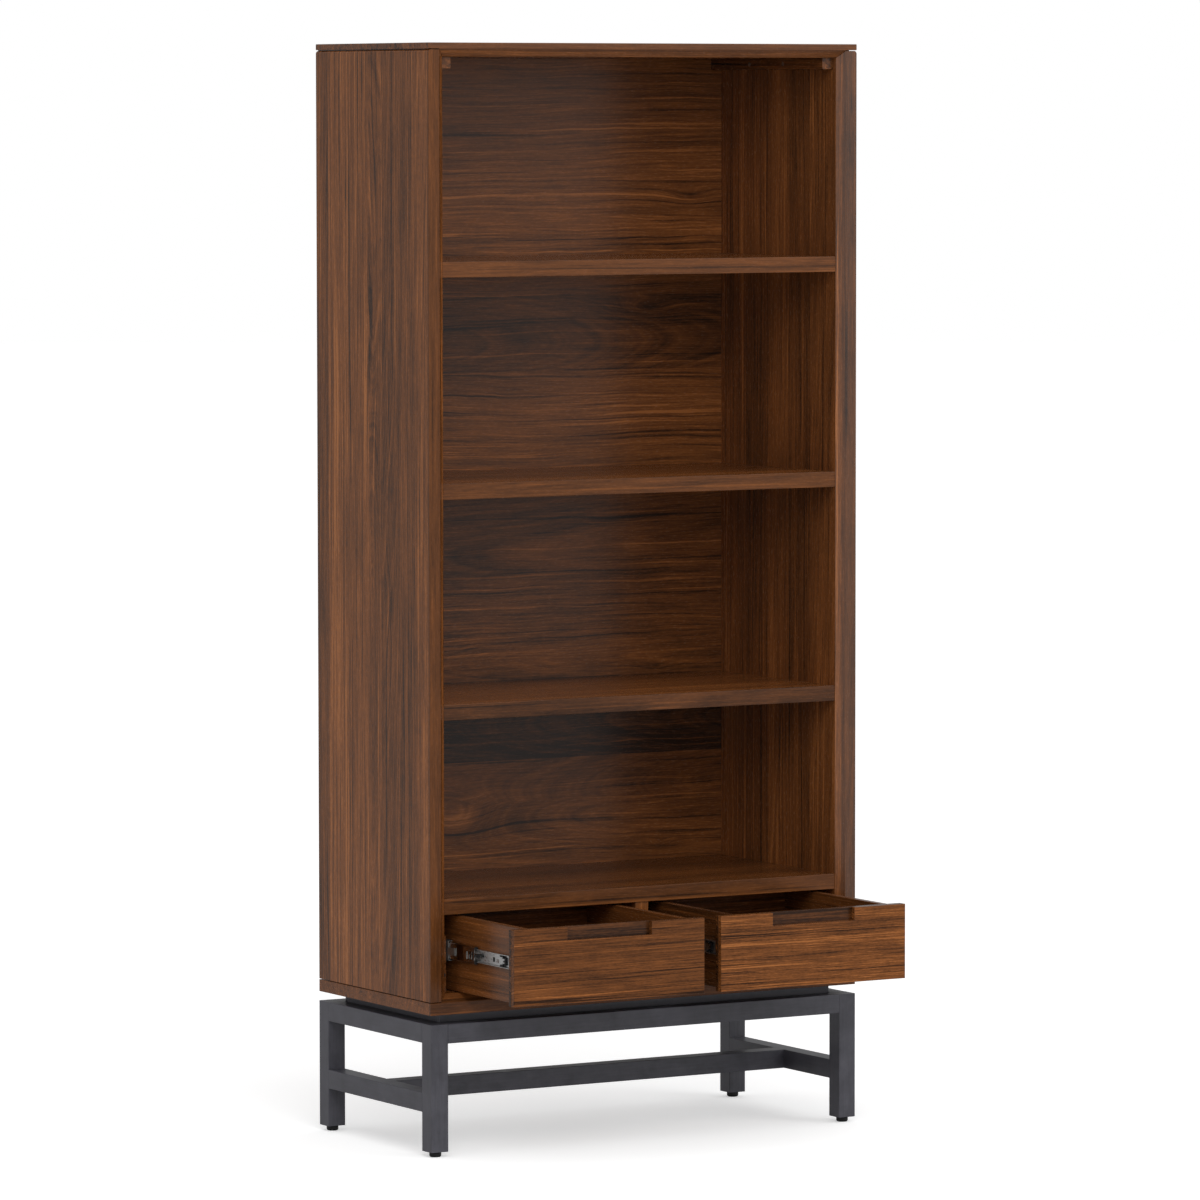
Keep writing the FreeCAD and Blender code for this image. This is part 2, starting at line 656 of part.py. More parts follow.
full = "( bottom_flat + bevel )"
bottom = pad("bottom_board", "YZ_Plane",
             [(("0", "0"), ("carcass_depth", "0"), ("carcass_depth", f"{full} - back_rebate"),
               (rear_edge, f"{full} - back_rebate"), (rear_edge, full), ("bevel", full),
               ("0", "bottom_flat"))],
             "carcass_width", ("-half_width", "front", "carcass_bottom"))
pocket(bottom, "XZ_Plane",
       [(("-end_play", f"{full} + end_play"), (beyond, f"{full} + end_play"),
         ("side_flat", "bottom_flat"), ("-end_play", "bottom_flat")),
        (("carcass_width + end_play", f"{full} + end_play"),
         (f"carcass_width - ( {beyond} )", f"{full} + end_play"),
         ("carcass_width - side_flat", "bottom_flat"), ("carcass_width + end_play", "bottom_flat"))])
keep(cut(bottom, bores["bottom"] + insert_bores, "bottom_board"))

cleat = pad("left_top_cleat", "XZ_Plane",
            [rectangle("-side_inner", "ceiling - cleat_height", "cleat_width - side_inner", "ceiling")],
            cleat_length, ("0", cleat_front, "0"), True)
edge_x, edge_z = value("cleat_width - side_inner"), value("ceiling - cleat_height")
ease(cleat, "cleat_ease", lambda middle, way: close(middle.x, edge_x) and close(middle.z, edge_z))
left_cleat = keep(cut(cleat, bores["cleat"], "left_top_cleat"))
keep(mirrored(left_cleat, "right_top_cleat"))

# Drawers. The side boards butt against the backing and hold the back board between them. The
# bottom lies in grooves in the sides and the back.
front_top = "( front_bottom + front_height )"
groove_low = "( front_bottom + base_raise - groove_play )"
groove_height = "( box_base + 2 * groove_play )"
back_start = "( box_front + box_length - box_wall )"
for bay, centre in (("left", "-bay_centre"), ("right", "bay_centre")):
    name = bay + "_drawer_"
    notch = "( notch_width / 2 )"
    notch_floor = f"{front_top} - notch_height"
    face = pad(name + "face", "XZ_Plane",
               [((f"{centre} - front_half", "front_bottom"), (f"{centre} + front_half", "front_bottom"),
                 (f"{centre} + front_half", front_top), (f"{centre} + {notch}", front_top),
                 (f"{centre} + {notch}", notch_floor), (f"{centre} - {notch}", notch_floor),
                 (f"{centre} - {notch}", front_top), (f"{centre} - front_half", front_top))],
               "face_thickness", ("0", "face_front", "0"), True)
    keep(face)

    backing_bores, side_bores, back_bores = [], {"x": [], "-x": []}, []
    for way, sign in (("x", "-"), ("-x", "+")):
        for share in ("0.25", "0.8"):
            level = f"front_bottom + front_height * {share}"
            spot = (f"{centre} {sign} ( box_half - box_wall / 2 )", "backing_front", level)
            screw, bore = flat_screw(spot, "y", "backing_thickness + screw_bite")
            drawer_screws[bay].append(screw)
            backing_bores.append(bore)
            side_bores[way].append(bore)
            spot = (f"{centre} {sign} box_half", f"{back_start} + box_wall / 2", level)
            screw, bore = flat_screw(spot, way, "box_wall + screw_bite")
            drawer_screws[bay].append(screw)
            back_bores.append(bore)
            side_bores[way].append(bore)

    backing = block(name + "backing", (f"{centre} - front_half", "backing_front", "front_bottom"),
                    ("2 * front_half", "backing_thickness", "front_height"))
    keep(cut(backing, backing_bores, name + "backing"))

    # The runner of the bay wall on the drawer's left is the one whose way is +X.
    for way, label, start, inner in (
            ("x", "left_side", f"{centre} - box_half", f"{centre} - box_half + box_wall - groove_depth"),
            ("-x", "right_side", f"{centre} + box_half - box_wall", f"{centre} + box_half - box_wall")):
        side = block(name + label, (start, "box_front", "front_bottom"),
                     ("box_wall", "box_length", "front_height"))
        groove = block("groove", (inner, "box_front - end_play", groove_low),
                       ("groove_depth", "box_length + 2 * end_play", groove_height))
        keep(cut(side, [groove] + side_bores[way] + drawer_side_bores[bay][way], name + label))

    back = block(name + "back", (f"{centre} - box_half + box_wall", back_start, "front_bottom"),
                 ("2 * ( box_half - box_wall )", "box_wall", "front_height"))
    groove = block("groove", (f"{centre} - box_half", f"{back_start} - end_play", groove_low),
                   ("2 * box_half", "groove_depth + end_play", groove_height))
    keep(cut(back, [groove] + back_bores, name + "back"))

    reach = "( box_half - box_wall + groove_depth - groove_play )"
    keep(block(name + "bottom", (f"{centre} - {reach}", "box_front", "front_bottom + base_raise"),
               (f"2 * {reach}", "box_length - box_wall + groove_depth - groove_play", "box_base")))
    keep(gather(drawer_screws[bay], name + "screws"))


# The stand is welded from square tube: four legs, a top frame, two side stretchers and one long
# stretcher between them. Carrier bars inside the top frame hold the carcass above it.
def tube(label, way, low, length):
    """A square tube with open ends that runs along way (x or y)."""
    plane = "YZ_Plane" if way == "x" else "XZ_Plane"
    body = pad(label, plane,
               [rectangle("0", "0", "tube_size", "tube_size"),
                rectangle("tube_wall", "tube_wall", "tube_size - tube_wall", "tube_size - tube_wall")],
               length, low, way == "y")
    full_size = value("tube_size")
    across = "y" if way == "x" else "x"

    def outer_corner(middle, direction):
        return (abs(getattr(direction, way)) > 0.99
                and (close(getattr(middle, across), 0) or close(getattr(middle, across), full_size))
                and (close(middle.z, 0) or close(middle.z, full_size)))
    return keep(ease(body, "tube_radius", outer_corner))


glides = []
for label, x, y in (("front_left_leg", "-base_half_width", "-base_half_depth"),
                    ("front_right_leg", "stand_inner_x", "-base_half_depth"),
                    ("back_left_leg", "-base_half_width", "stand_inner_y"),
                    ("back_right_leg", "stand_inner_x", "stand_inner_y")):
    leg = pad(label, "XY_Plane", [rectangle("0", "0", "tube_size", "tube_size")],
              "rail_top - leg_clearance", (x, y, "leg_clearance"))
    ease(leg, "tube_radius", lambda middle, way: abs(way.z) > 0.99)
    hollow = block("hollow", (f"{x} + tube_wall", f"{y} + tube_wall", "leg_clearance + end_plate"),
                   ("tube_size - 2 * tube_wall", "tube_size - 2 * tube_wall",
                    "rail_top - tube_wall - leg_clearance - end_plate"))

    # The glide is a disc on a stud that goes up through the end plate.
    across, along = f"{x} + tube_size / 2", f"{y} + tube_size / 2"
    tapped = rod((across, along, "leg_clearance - end_play"), "z", "stud_diameter / 2 + bore_play",
                 "end_plate + 2 * end_play")
    keep(cut(leg, [hollow, tapped], label))
    sole = countersink((across, along, "0"), "z", "glide_diameter / 2 - glide_ease",
                       "glide_diameter / 2", "glide_ease")
    disc = rod((across, along, "glide_ease"), "z", "glide_diameter / 2", "leg_clearance - glide_ease")
    stud = rod((across, along, "leg_clearance"), "z", "stud_diameter / 2", "stud_length")
    glides.append(join([sole, disc, stud], "glide"))
keep(gather(glides, "glides"))

tube("front_top_rail", "x", ("-stand_inner_x", "-base_half_depth", "rail_bottom"), "2 * stand_inner_x")
tube("back_top_rail", "x", ("-stand_inner_x", "stand_inner_y", "rail_bottom"), "2 * stand_inner_x")
tube("left_top_rail", "y", ("-base_half_width", "-stand_inner_y", "rail_bottom"), "2 * stand_inner_y")
tube("right_top_rail", "y", ("stand_inner_x", "-stand_inner_y", "rail_bottom"), "2 * stand_inner_y")
tube("left_stretcher", "y", ("-base_half_width", "-stand_inner_y", "stretcher_bottom"),
     "2 * stand_inner_y")
tube("right_stretcher", "y", ("stand_inner_x", "-stand_inner_y", "stretcher_bottom"),
     "2 * stand_inner_y")
tube("long_stretcher", "x", ("-stand_inner_x", "-tube_size / 2", "stretcher_bottom"),
     "2 * stand_inner_x")

long_bars = []
for sign, y in (("-", "-stand_inner_y"), ("", "stand_inner_y - bar_width")):
    bar = pad("long_bar", "XY_Plane", [rectangle("0", "0", "2 * stand_inner_x", "bar_width")],
              "bar_height", ("-stand_inner_x", y, "bar_bottom"))
    outer = 0 if sign else value("bar_width")
    ease(bar, "bar_radius", lambda middle, way: abs(way.z) > 0.99 and close(middle.y, outer))
    hollow = block("hollow", ("-stand_inner_x + bar_wall", f"{y} + bar_wall", "bar_bottom + bar_wall"),
                   ("2 * ( stand_inner_x - bar_wall )", "bar_width - 2 * bar_wall",
                    "bar_height - 2 * bar_wall"))
    long_bars.append(cut(bar, [hollow] + bolt_bores[sign], "long_bar"))
keep(gather(long_bars, "long_carrier_bars"))

short_bars = []
for x in ("-stand_inner_x", "stand_inner_x - bar_width"):
    short_bars.append(pad("short_bar", "XZ_Plane",
                          [rectangle("0", "0", "bar_width", "bar_height"),
                           rectangle("bar_wall", "bar_wall", "bar_width - bar_wall",
                                     "bar_height - bar_wall")],
                          "2 * ( stand_inner_y - bar_width )",
                          (x, "bar_width - stand_inner_y", "bar_bottom"), True))
keep(gather(short_bars, "short_carrier_bars"))

doc.recompute()

for item in doc.Objects:
    if any(word in item.State for word in ("Invalid", "Error")):
        raise RuntimeError(f"{item.Label} ({item.Name}) is {item.State}")

os.makedirs("parts", exist_ok=True)
written = set()
for item in nodes:
    shape = item.Shape
    if shape.isNull() or not shape.isValid() or not shape.Solids:
        raise RuntimeError(f"{item.Label} has no valid solid")
    if item.Label in written:
        raise RuntimeError(f"two pieces are called {item.Label}")
    written.add(item.Label)
    shape.exportStep(f"parts/{item.Label}.step")
print(len(nodes), "pieces written")
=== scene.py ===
import json
import math
import random

import bmesh
import bpy
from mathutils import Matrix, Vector

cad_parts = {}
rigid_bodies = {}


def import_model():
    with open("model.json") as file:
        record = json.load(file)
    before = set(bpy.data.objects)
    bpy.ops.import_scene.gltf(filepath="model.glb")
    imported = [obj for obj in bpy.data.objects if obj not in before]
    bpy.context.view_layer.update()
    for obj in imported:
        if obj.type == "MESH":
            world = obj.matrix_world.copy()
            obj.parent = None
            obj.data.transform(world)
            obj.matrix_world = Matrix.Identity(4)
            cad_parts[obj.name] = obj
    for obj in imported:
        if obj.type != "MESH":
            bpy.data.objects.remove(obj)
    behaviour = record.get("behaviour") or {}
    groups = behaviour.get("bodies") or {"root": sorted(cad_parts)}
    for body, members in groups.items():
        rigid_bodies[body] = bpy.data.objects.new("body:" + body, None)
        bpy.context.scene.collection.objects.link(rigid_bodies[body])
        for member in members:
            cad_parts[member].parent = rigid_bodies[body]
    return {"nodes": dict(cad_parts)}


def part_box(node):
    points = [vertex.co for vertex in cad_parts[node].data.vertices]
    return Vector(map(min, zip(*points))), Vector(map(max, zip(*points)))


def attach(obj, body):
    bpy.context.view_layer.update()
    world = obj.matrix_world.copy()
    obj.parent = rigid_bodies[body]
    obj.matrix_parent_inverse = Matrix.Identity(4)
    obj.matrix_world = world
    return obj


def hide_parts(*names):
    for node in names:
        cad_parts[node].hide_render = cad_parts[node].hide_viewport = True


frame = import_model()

for spare in [thing for thing in bpy.data.objects if thing.name in ("Cube", "Light", "Camera")]:
    bpy.data.objects.remove(spare)
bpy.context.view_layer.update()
print("bookcase loaded:", len(frame["nodes"]), "nodes")

scene = bpy.context.scene
scene.view_settings.view_transform = "Standard"

# the camera: its place in metres, its turn in degrees, its lens and sensor in millimetres
viewFrom = {"place": (-6.0288, -10.2389, 1.7236), "turn": (86.005, 0.05, -30.593), "lens": 211.7,
            "sensor": 36, "reach": 100}


def placeCamera():
    lens = bpy.data.cameras.new("camera")
    lens.lens = viewFrom["lens"]
    lens.sensor_width = viewFrom["sensor"]
    lens.clip_end = viewFrom["reach"]
    holder = bpy.data.objects.new("camera", lens)
    holder.location = viewFrom["place"]
    holder.rotation_euler = [math.radians(angle) for angle in viewFrom["turn"]]
    scene.collection.objects.link(holder)
    scene.camera = holder


placeCamera()


# node tree helpers
def addNode(tree, kind, inputs=None, **settings):
    made = tree.nodes.new(kind)
    for name, value in settings.items():
        setattr(made, name, value)
    for name, value in (inputs or {}).items():
        if isinstance(value, bpy.types.NodeSocket):
            tree.links.new(value, made.inputs[name])
        else:
            made.inputs[name].default_value = value
    return made


def sums(tree, operation, *values):
    return addNode(tree, "ShaderNodeMath", dict(enumerate(values)), operation=operation).outputs[0]


def times(tree, first, second):
    return sums(tree, "MULTIPLY", first, second)


def total(tree, values):
    result = values[0]
    for value in values[1:]:
        result = sums(tree, "ADD", result, value)
    return result


def weighted(tree, value, weight):  # a 0 to 1 pattern turned into plus or minus half its weight
    return sums(tree, "MULTIPLY_ADD", value, weight, -weight / 2)


def rise(tree, value, start, end, low=0.0, high=1.0):  # goes from low to high between start and end
    span = {"Value": value, "From Min": start, "From Max": end, "To Min": low, "To Max": high}
    return addNode(tree, "ShaderNodeMapRange", span).outputs[0]


def weave(tree, x, y, z):
    return addNode(tree, "ShaderNodeCombineXYZ", {"X": x, "Y": y, "Z": z}).outputs[0]


def cloud(tree, vector, detail=2.0, rough=0.5, scale=1.0):
    sockets = {"Vector": vector, "Scale": scale, "Detail": detail, "Roughness": rough}
    return addNode(tree, "ShaderNodeTexNoise", sockets).outputs["Fac"]


def drawnOut(tree, place, along, few, many):  # stretches a pattern along one axis
    scales = [few if axis == along else many for axis in "xyz"]
    return addNode(tree, "ShaderNodeMapping", {"Vector": place, "Scale": scales}).outputs[0]


def ramp(tree, value, stops):
    made = addNode(tree, "ShaderNodeValToRGB", {"Fac": value})
    steps = made.color_ramp.elements
    while len(steps) < len(stops):
        steps.new(0.5)
    for step, (place, colour) in zip(steps, stops):
        step.position = place
        step.color = (*colour, 1)
    return made.outputs["Color"]


def startGroup(name, inputs, outputs):
    tree = bpy.data.node_groups.new(name, "ShaderNodeTree")
    for way, sockets in (("INPUT", inputs), ("OUTPUT", outputs)):
        for socket, kind in sockets.items():
            tree.interface.new_socket(socket, in_out=way, socket_type="NodeSocket" + kind)
    return tree, addNode(tree, "NodeGroupInput").outputs, addNode(tree, "NodeGroupOutput").inputs


def startMaterial(name, shine):
    made = bpy.data.materials.new(name)
    made.use_nodes = True
    tree = made.node_tree
    shader = tree.nodes["Principled BSDF"]
    for socket, value in shine.items():
        shader.inputs[socket].default_value = value
    place = addNode(tree, "ShaderNodeTexCoord").outputs["Object"]
    return made, tree, shader, place


def setFinish(tree, shader, colour, satin, height=None, bump=(0, 0)):  # bump is strength and distance
    tree.links.new(colour, shader.inputs["Base Color"])
    tree.links.new(satin, shader.inputs["Roughness"])
    if height:
        relief = addNode(tree, "ShaderNodeBump", {"Strength": bump[0], "Distance": bump[1], "Height": height})
        tree.links.new(relief.outputs[0], shader.inputs["Normal"])


# walnut: straight grain with arches, streaks and knots
# the grain runs along a, b is across it and c is the depth; all in metres
walnutLook = {
    "stops": ((0.00, (0.022, 0.0079, 0.0026)), (0.22, (0.068, 0.0236, 0.0070)),
              (0.42, (0.122, 0.0412, 0.0112)), (0.58, (0.172, 0.0575, 0.0150)),
              (0.76, (0.232, 0.0780, 0.0200)), (1.00, (0.380, 0.1340, 0.0360))),
    # how far each pattern moves the tone
    "rings": 0.44, "lines": 0.74, "streaks": 0.62, "fibres": 0.80, "flecks": 0.52, "mottle": 0.22,
    "patches": 0.34, "gleams": 0.40, "pores": 0.12,
    # where light lines, dark lines and pores set in
    "light": (0.62, 0.74), "dusk": (0.38, 0.27), "pore": (0.60, 0.72),
    "satin": 0.25, "satinFibres": 0.10, "satinStreaks": 0.06, "satinPores": 0.12,
    "shine": 0.30, "bump": (0.10, 0.0004), "bumpLines": 0.6, "bumpPores": -1.2,
}
# scale along the grain and across it, detail and roughness of each pattern
grainScales = {
    "ripple": (11.0, 24.0, 2.0, 0.5), "streaks": (0.9, 24.0, 4.0, 0.6), "patches": (3.4, 11.0, 2.0, 0.5),
    "long": (1.3, 190.0, 1.0, 0.5), "fibres": (12.0, 390.0, 2.0, 0.6), "flecks": (85.0, 480.0, 2.0, 0.6),
    "mottle": (24.0, 60.0, 2.0, 0.6),
}
# scale across the rings, along them and per stave, then detail and roughness
ringScales = {"rings": (150.0, 0.5, 40.0, 3.0, 0.6), "lines": (380.0, 3.0, 40.0, 2.0, 0.6)}
# how far the grain wanders, and how much of that is a stave's own luck
grainBend = {
    "wave": 0.034, "waveScale": (2.2, 5.0, 9.0), "ripple": 0.006,
    "swell": 0.05, "swellScale": (1.5, 3.0, 7.0), "lean": 0.010,
    "heart": 0.05, "depth": (0.09, 0.022), "taper": 0.22, "seed": (1.37, 0.731),
}
knotBell = {"base": 0.3679, "core": 4.0}  # the dark core is narrower than the bend around it


def makeKnotGroup():
    tree, given, wanted = startGroup(
        "walnut knot", {"Grain": "Vector", "Place": "Vector", "Size": "Vector", "Lift": "Float", "Shade": "Float"},
        {"Lift": "Float", "Core": "Float"})

    def between(operation, first, second):
        return addNode(tree, "ShaderNodeVectorMath", {0: first, 1: second}, operation=operation)

    away = between("SUBTRACT", given["Grain"], given["Place"]).outputs[0]
    spread = between("DIVIDE", away, given["Size"]).outputs[0]
    square = between("DOT_PRODUCT", spread, spread).outputs["Value"]
    bell = sums(tree, "POWER", knotBell["base"], square)
    tree.links.new(times(tree, bell, given["Lift"]), wanted["Lift"])
    tree.links.new(times(tree, sums(tree, "POWER", bell, knotBell["core"]), given["Shade"]), wanted["Core"])
    return tree


def makeFigureGroup():
    numbers = ("Seed", "Stave", "Heart", "Tone", "Bend", "Lift", "Core", "Figure", "Short")
    tree, given, wanted = startGroup(
        "walnut figure", {"Grain": "Vector", **dict.fromkeys(numbers, "Float")},
        {"Color": "Color", "Satin": "Float", "Relief": "Float"})
    along, across, c = addNode(tree, "ShaderNodeSeparateXYZ", {0: given["Grain"]}).outputs
    a, b = [sums(tree, "MULTIPLY_ADD", given["Seed"], share, way)
            for share, way in zip(grainBend["seed"], (along, across))]
    # each glued stave has its own heart and its own luck
    luck = addNode(tree, "ShaderNodeTexWhiteNoise", {"W": sums(tree, "ADD", given["Stave"], given["Seed"])},
                   noise_dimensions="1D")
    first, second, third = addNode(tree, "ShaderNodeSeparateColor", {0: luck.outputs["Color"]}).outputs

    def drawn(name, run, side):  # a pattern drawn out along the grain
        lengthwise, crosswise, detail, rough = grainScales[name]
        place = weave(tree, times(tree, run, lengthwise), times(tree, side, crosswise), times(tree, c, crosswise))
        return cloud(tree, place, detail, rough)

    def ringed(name, chance):  # a pattern that follows the rings
        outward, lengthwise, own, detail, rough = ringScales[name]
        place = weave(tree, times(tree, field, outward), times(tree, short, lengthwise), times(tree, chance, own))
        return cloud(tree, place, detail, rough)

    # slow waves bend the grain
    lengthwise, crosswise, own = grainBend["waveScale"]
    deepWave = sums(tree, "MULTIPLY_ADD", c, crosswise, times(tree, first, own))
    wave = cloud(tree, weave(tree, times(tree, a, lengthwise), times(tree, b, crosswise), deepWave))
    sway = total(tree, [weighted(tree, wave, grainBend["wave"]),
                        weighted(tree, drawn("ripple", a, b), grainBend["ripple"])])
    bow = times(tree, sway, given["Bend"])
    bent = total(tree, [b, bow, given["Lift"]])
    # the rings are cut at an angle, round a heart below the board's face
    luckier = sums(tree, "SUBTRACT", third, 0.5)
    aside = total(tree, [bow, given["Lift"], sums(tree, "SUBTRACT", across, given["Heart"]),
                         weighted(tree, first, grainBend["heart"])])
    deep = total(tree, [c, times(tree, luckier, times(tree, along, grainBend["taper"])),
                        sums(tree, "MULTIPLY_ADD", second, *grainBend["depth"])])
    ring = sums(tree, "SQRT", sums(tree, "ADD", times(tree, aside, aside), times(tree, deep, deep)))
    lean = times(tree, luckier, times(tree, along, grainBend["lean"]))
    lengthwise, crosswise, own = grainBend["swellScale"]
    deepSwell = times(tree, first, own)
    slow = cloud(tree, weave(tree, times(tree, a, lengthwise), times(tree, bent, crosswise), deepSwell), 1.0)
    swell = times(tree, sums(tree, "SUBTRACT", slow, 0.5), times(tree, given["Bend"], grainBend["swell"]))
    field = total(tree, [ring, lean, swell, given["Lift"]])
    short = times(tree, a, given["Short"])  # the shorter the streaks, the faster this runs

    rings, lines = ringed("rings", second), ringed("lines", third)
    streaks, patches, flecks, mottle = [drawn(name, a, bent) for name in ("streaks", "patches", "flecks", "mottle")]
    long, fibres = [drawn(name, short, bent) for name in ("long", "fibres")]
    # thin long lines, some light and some dark
    light, dusk = rise(tree, long, *walnutLook["light"]), rise(tree, long, *walnutLook["dusk"])
    pores = rise(tree, flecks, *walnutLook["pore"])
    patterns = {"rings": rings, "lines": lines, "streaks": streaks, "fibres": fibres, "flecks": flecks,
                "mottle": mottle, "patches": patches}
    pattern = total(tree, [weighted(tree, value, walnutLook[name]) for name, value in patterns.items()] + [
        times(tree, light, walnutLook["gleams"]), times(tree, dusk, -walnutLook["gleams"]),
        times(tree, pores, -walnutLook["pores"])])
    tone = total(tree, [times(tree, pattern, given["Figure"]), given["Tone"], given["Core"], 0.5])
    tree.links.new(ramp(tree, tone, walnutLook["stops"]), wanted["Color"])
    satin = total(tree, [weighted(tree, fibres, walnutLook["satinFibres"]),
                         weighted(tree, streaks, walnutLook["satinStreaks"]),
                         times(tree, pores, walnutLook["satinPores"]), walnutLook["satin"]])
    tree.links.new(satin, wanted["Satin"])
    relief = total(tree, [fibres, times(tree, lines, walnutLook["bumpLines"]),
                          times(tree, pores, walnutLook["bumpPores"])])
    tree.links.new(relief, wanted["Relief"])
    return tree


knotGroup = makeKnotGroup()
figureGroup = makeFigureGroup()


def makeWalnut(name, centre, facts, seed, staves):
    made, tree, shader, place = startMaterial(name, {"Specular IOR Level": facts["shine"]})
    middle = {"Vector": place, "Location": [-value for value in centre]}
    centred = addNode(tree, "ShaderNodeMapping", middle).outputs[0]
    axes = dict(zip("xyz", addNode(tree, "ShaderNodeSeparateXYZ", {0: centred}).outputs))
    along, across = axes.pop(facts["along"]), axes.pop(facts["across"])
    grain = weave(tree, along, across, *axes.values())
    finer = addNode(tree, "ShaderNodeVectorMath", {0: grain, "Scale": facts["fine"]}, operation="SCALE").outputs[0]
    figure = addNode(tree, "ShaderNodeGroup", node_tree=figureGroup)
    tree.links.new(finer, figure.inputs["Grain"])
    for socket, value in (("Seed", seed), ("Bend", facts["bend"]), ("Short", facts["short"])):
        figure.inputs[socket].default_value = value
    # a step at each glue line moves on to the next stave
    steps = {"Stave": [0.0], "Heart": [staves[0][1]], "Tone": [staves[0][2]], "Figure": [staves[0][3]]}
    # painted light: a board with a slope gets lighter along its length
    if facts["paintedLightSlope"]:  # the board gets lighter along its length
        steps["Tone"].append(times(tree, along, facts["paintedLightSlope"]))
    for before, after in zip(staves, staves[1:]):
        passed = sums(tree, "GREATER_THAN", across, after[0])
        steps["Stave"].append(passed)
        for column, socket in enumerate(("Heart", "Tone", "Figure"), 1):
            steps[socket].append(times(tree, passed, after[column] - before[column]))
    for socket, parts in steps.items():
        if len(parts) == 1:
            figure.inputs[socket].default_value = parts[0]
        else:
            tree.links.new(total(tree, parts[1:] + parts[:1]), figure.inputs[socket])
    lifts, cores = [], []
    for where, size, lift, shade in facts["knots"]:
        knot = addNode(tree, "ShaderNodeGroup", node_tree=knotGroup)
        tree.links.new(grain, knot.inputs["Grain"])
        for socket, value in (("Place", (*where, 0)), ("Size", (*size, 1)), ("Lift", lift), ("Shade", shade)):
            knot.inputs[socket].default_value = value
        lifts.append(knot.outputs["Lift"])
        cores.append(knot.outputs["Core"])
    if facts["knots"]:
        tree.links.new(total(tree, lifts), figure.inputs["Lift"])
        tree.links.new(total(tree, cores), figure.inputs["Core"])
    setFinish(tree, shader, figure.outputs["Color"], figure.outputs["Satin"], figure.outputs["Relief"],
              walnutLook["bump"])
    return made


# chance in a stave's width, heart and tone; all but the tone are shares of the plank's width
# the last stave takes what is left once that is less than this share
staveChance = {"width": (0.75, 1.25), "heart": (0.2, 0.8), "tone": 0.12, "last": 1.4}


def cutStaves(width, facts, seed):  # start, heart and tone of each stave across a board
    pick = random.Random(seed)
    plank, away, spread = facts["plank"], facts["away"], staveChance["tone"]
    starts = [-width / 2]
    while starts[-1] + plank * staveChance["last"] < width / 2:
        starts.append(starts[-1] + plank * pick.uniform(*staveChance["width"]))
    return [(start, start + plank * pick.uniform(*staveChance["heart"]) + pick.choice((-away, away)),
             facts["tone"] + pick.uniform(-spread, spread)) for start in starts]


# paint, metal, plastic and dowel finishes; drawn is the scale along a brushed or rolled pattern and across it
graphiteLook = {
    "dark": (0.038, 0.0374, 0.047), "pale": (0.079, 0.0770, 0.094),
    "shine": {"Metallic": 0.0, "Specular IOR Level": 0.5}, "drawn": (18, 260), "mottled": 26.0, "speckled": 900.0,
    "tones": (0.8, 1.5, 0.25),
    "satin": 0.42, "satinMottled": 0.2, "satinBrushed": 0.12, "bump": (0.12, 0.0003),
}
zincLook = {"drawn": (12, 700), "spangle": 240.0, "tones": (0.9, 0.8), "satinSpangle": 0.16, "satinRolled": 0.1,
            "bump": (0.08, 0.0002)}
mouldedLook = {"flow": 60.0, "tones": (0.8, 0.8), "satinGrain": 0.2, "shine": 0.3, "bump": (0.2, 0.0003)}
beechLook = {"dark": (0.40, 0.24, 0.12), "pale": (0.62, 0.42, 0.24), "drawn": (25, 500), "satin": 0.55,
             "satinFlecks": 0.2, "shine": 0.3}


def makeGraphite(name, along):
    made, tree, shader, place = startMaterial(name, graphiteLook["shine"])
    brushed = cloud(tree, drawnOut(tree, place, along, *graphiteLook["drawn"]), 3.0, 0.6)
    mottled = cloud(tree, place, 4.0, 0.6, graphiteLook["mottled"])
    speckled = cloud(tree, place, 2.0, 0.5, graphiteLook["speckled"])
    patterns = zip((brushed, mottled, speckled), graphiteLook["tones"])
    tone = total(tree, [weighted(tree, pattern, weight) for pattern, weight in patterns] + [0.5])
    colour = ramp(tree, tone, ((0.1, graphiteLook["dark"]), (0.9, graphiteLook["pale"])))
    satin = total(tree, [weighted(tree, mottled, graphiteLook["satinMottled"]),
                         weighted(tree, brushed, graphiteLook["satinBrushed"]), graphiteLook["satin"]])
    setFinish(tree, shader, colour, satin, total(tree, [brushed, speckled]), graphiteLook["bump"])
    return made


def makeZinc(name, dark, pale, satin, along="y"):
    made, tree, shader, place = startMaterial(name, {"Metallic": 1.0})
    rolled = cloud(tree, drawnOut(tree, place, along, *zincLook["drawn"]))
    spangle = cloud(tree, place, 3.0, 0.6, zincLook["spangle"])
    patterns = zip((rolled, spangle), zincLook["tones"])
    tone = total(tree, [weighted(tree, pattern, weight) for pattern, weight in patterns] + [0.5])
    glossy = total(tree, [weighted(tree, spangle, zincLook["satinSpangle"]),
                          weighted(tree, rolled, zincLook["satinRolled"]), satin])
    setFinish(tree, shader, ramp(tree, tone, ((0.15, dark), (0.85, pale))), glossy, rolled, zincLook["bump"])
    return made


def makeMoulded(name, dark, pale, satin, grainSize):
    made, tree, shader, place = startMaterial(name, {"Specular IOR Level": mouldedLook["shine"]})
    grain = cloud(tree, place, 3.0, 0.6, grainSize)
    patterns = zip((grain, cloud(tree, place, 2.0, 0.5, mouldedLook["flow"])), mouldedLook["tones"])
    tone = total(tree, [weighted(tree, pattern, weight) for pattern, weight in patterns] + [0.5])
    glossy = total(tree, [weighted(tree, grain, mouldedLook["satinGrain"]), satin])
    setFinish(tree, shader, ramp(tree, tone, ((0.2, dark), (0.8, pale))), glossy, grain, mouldedLook["bump"])
    return made


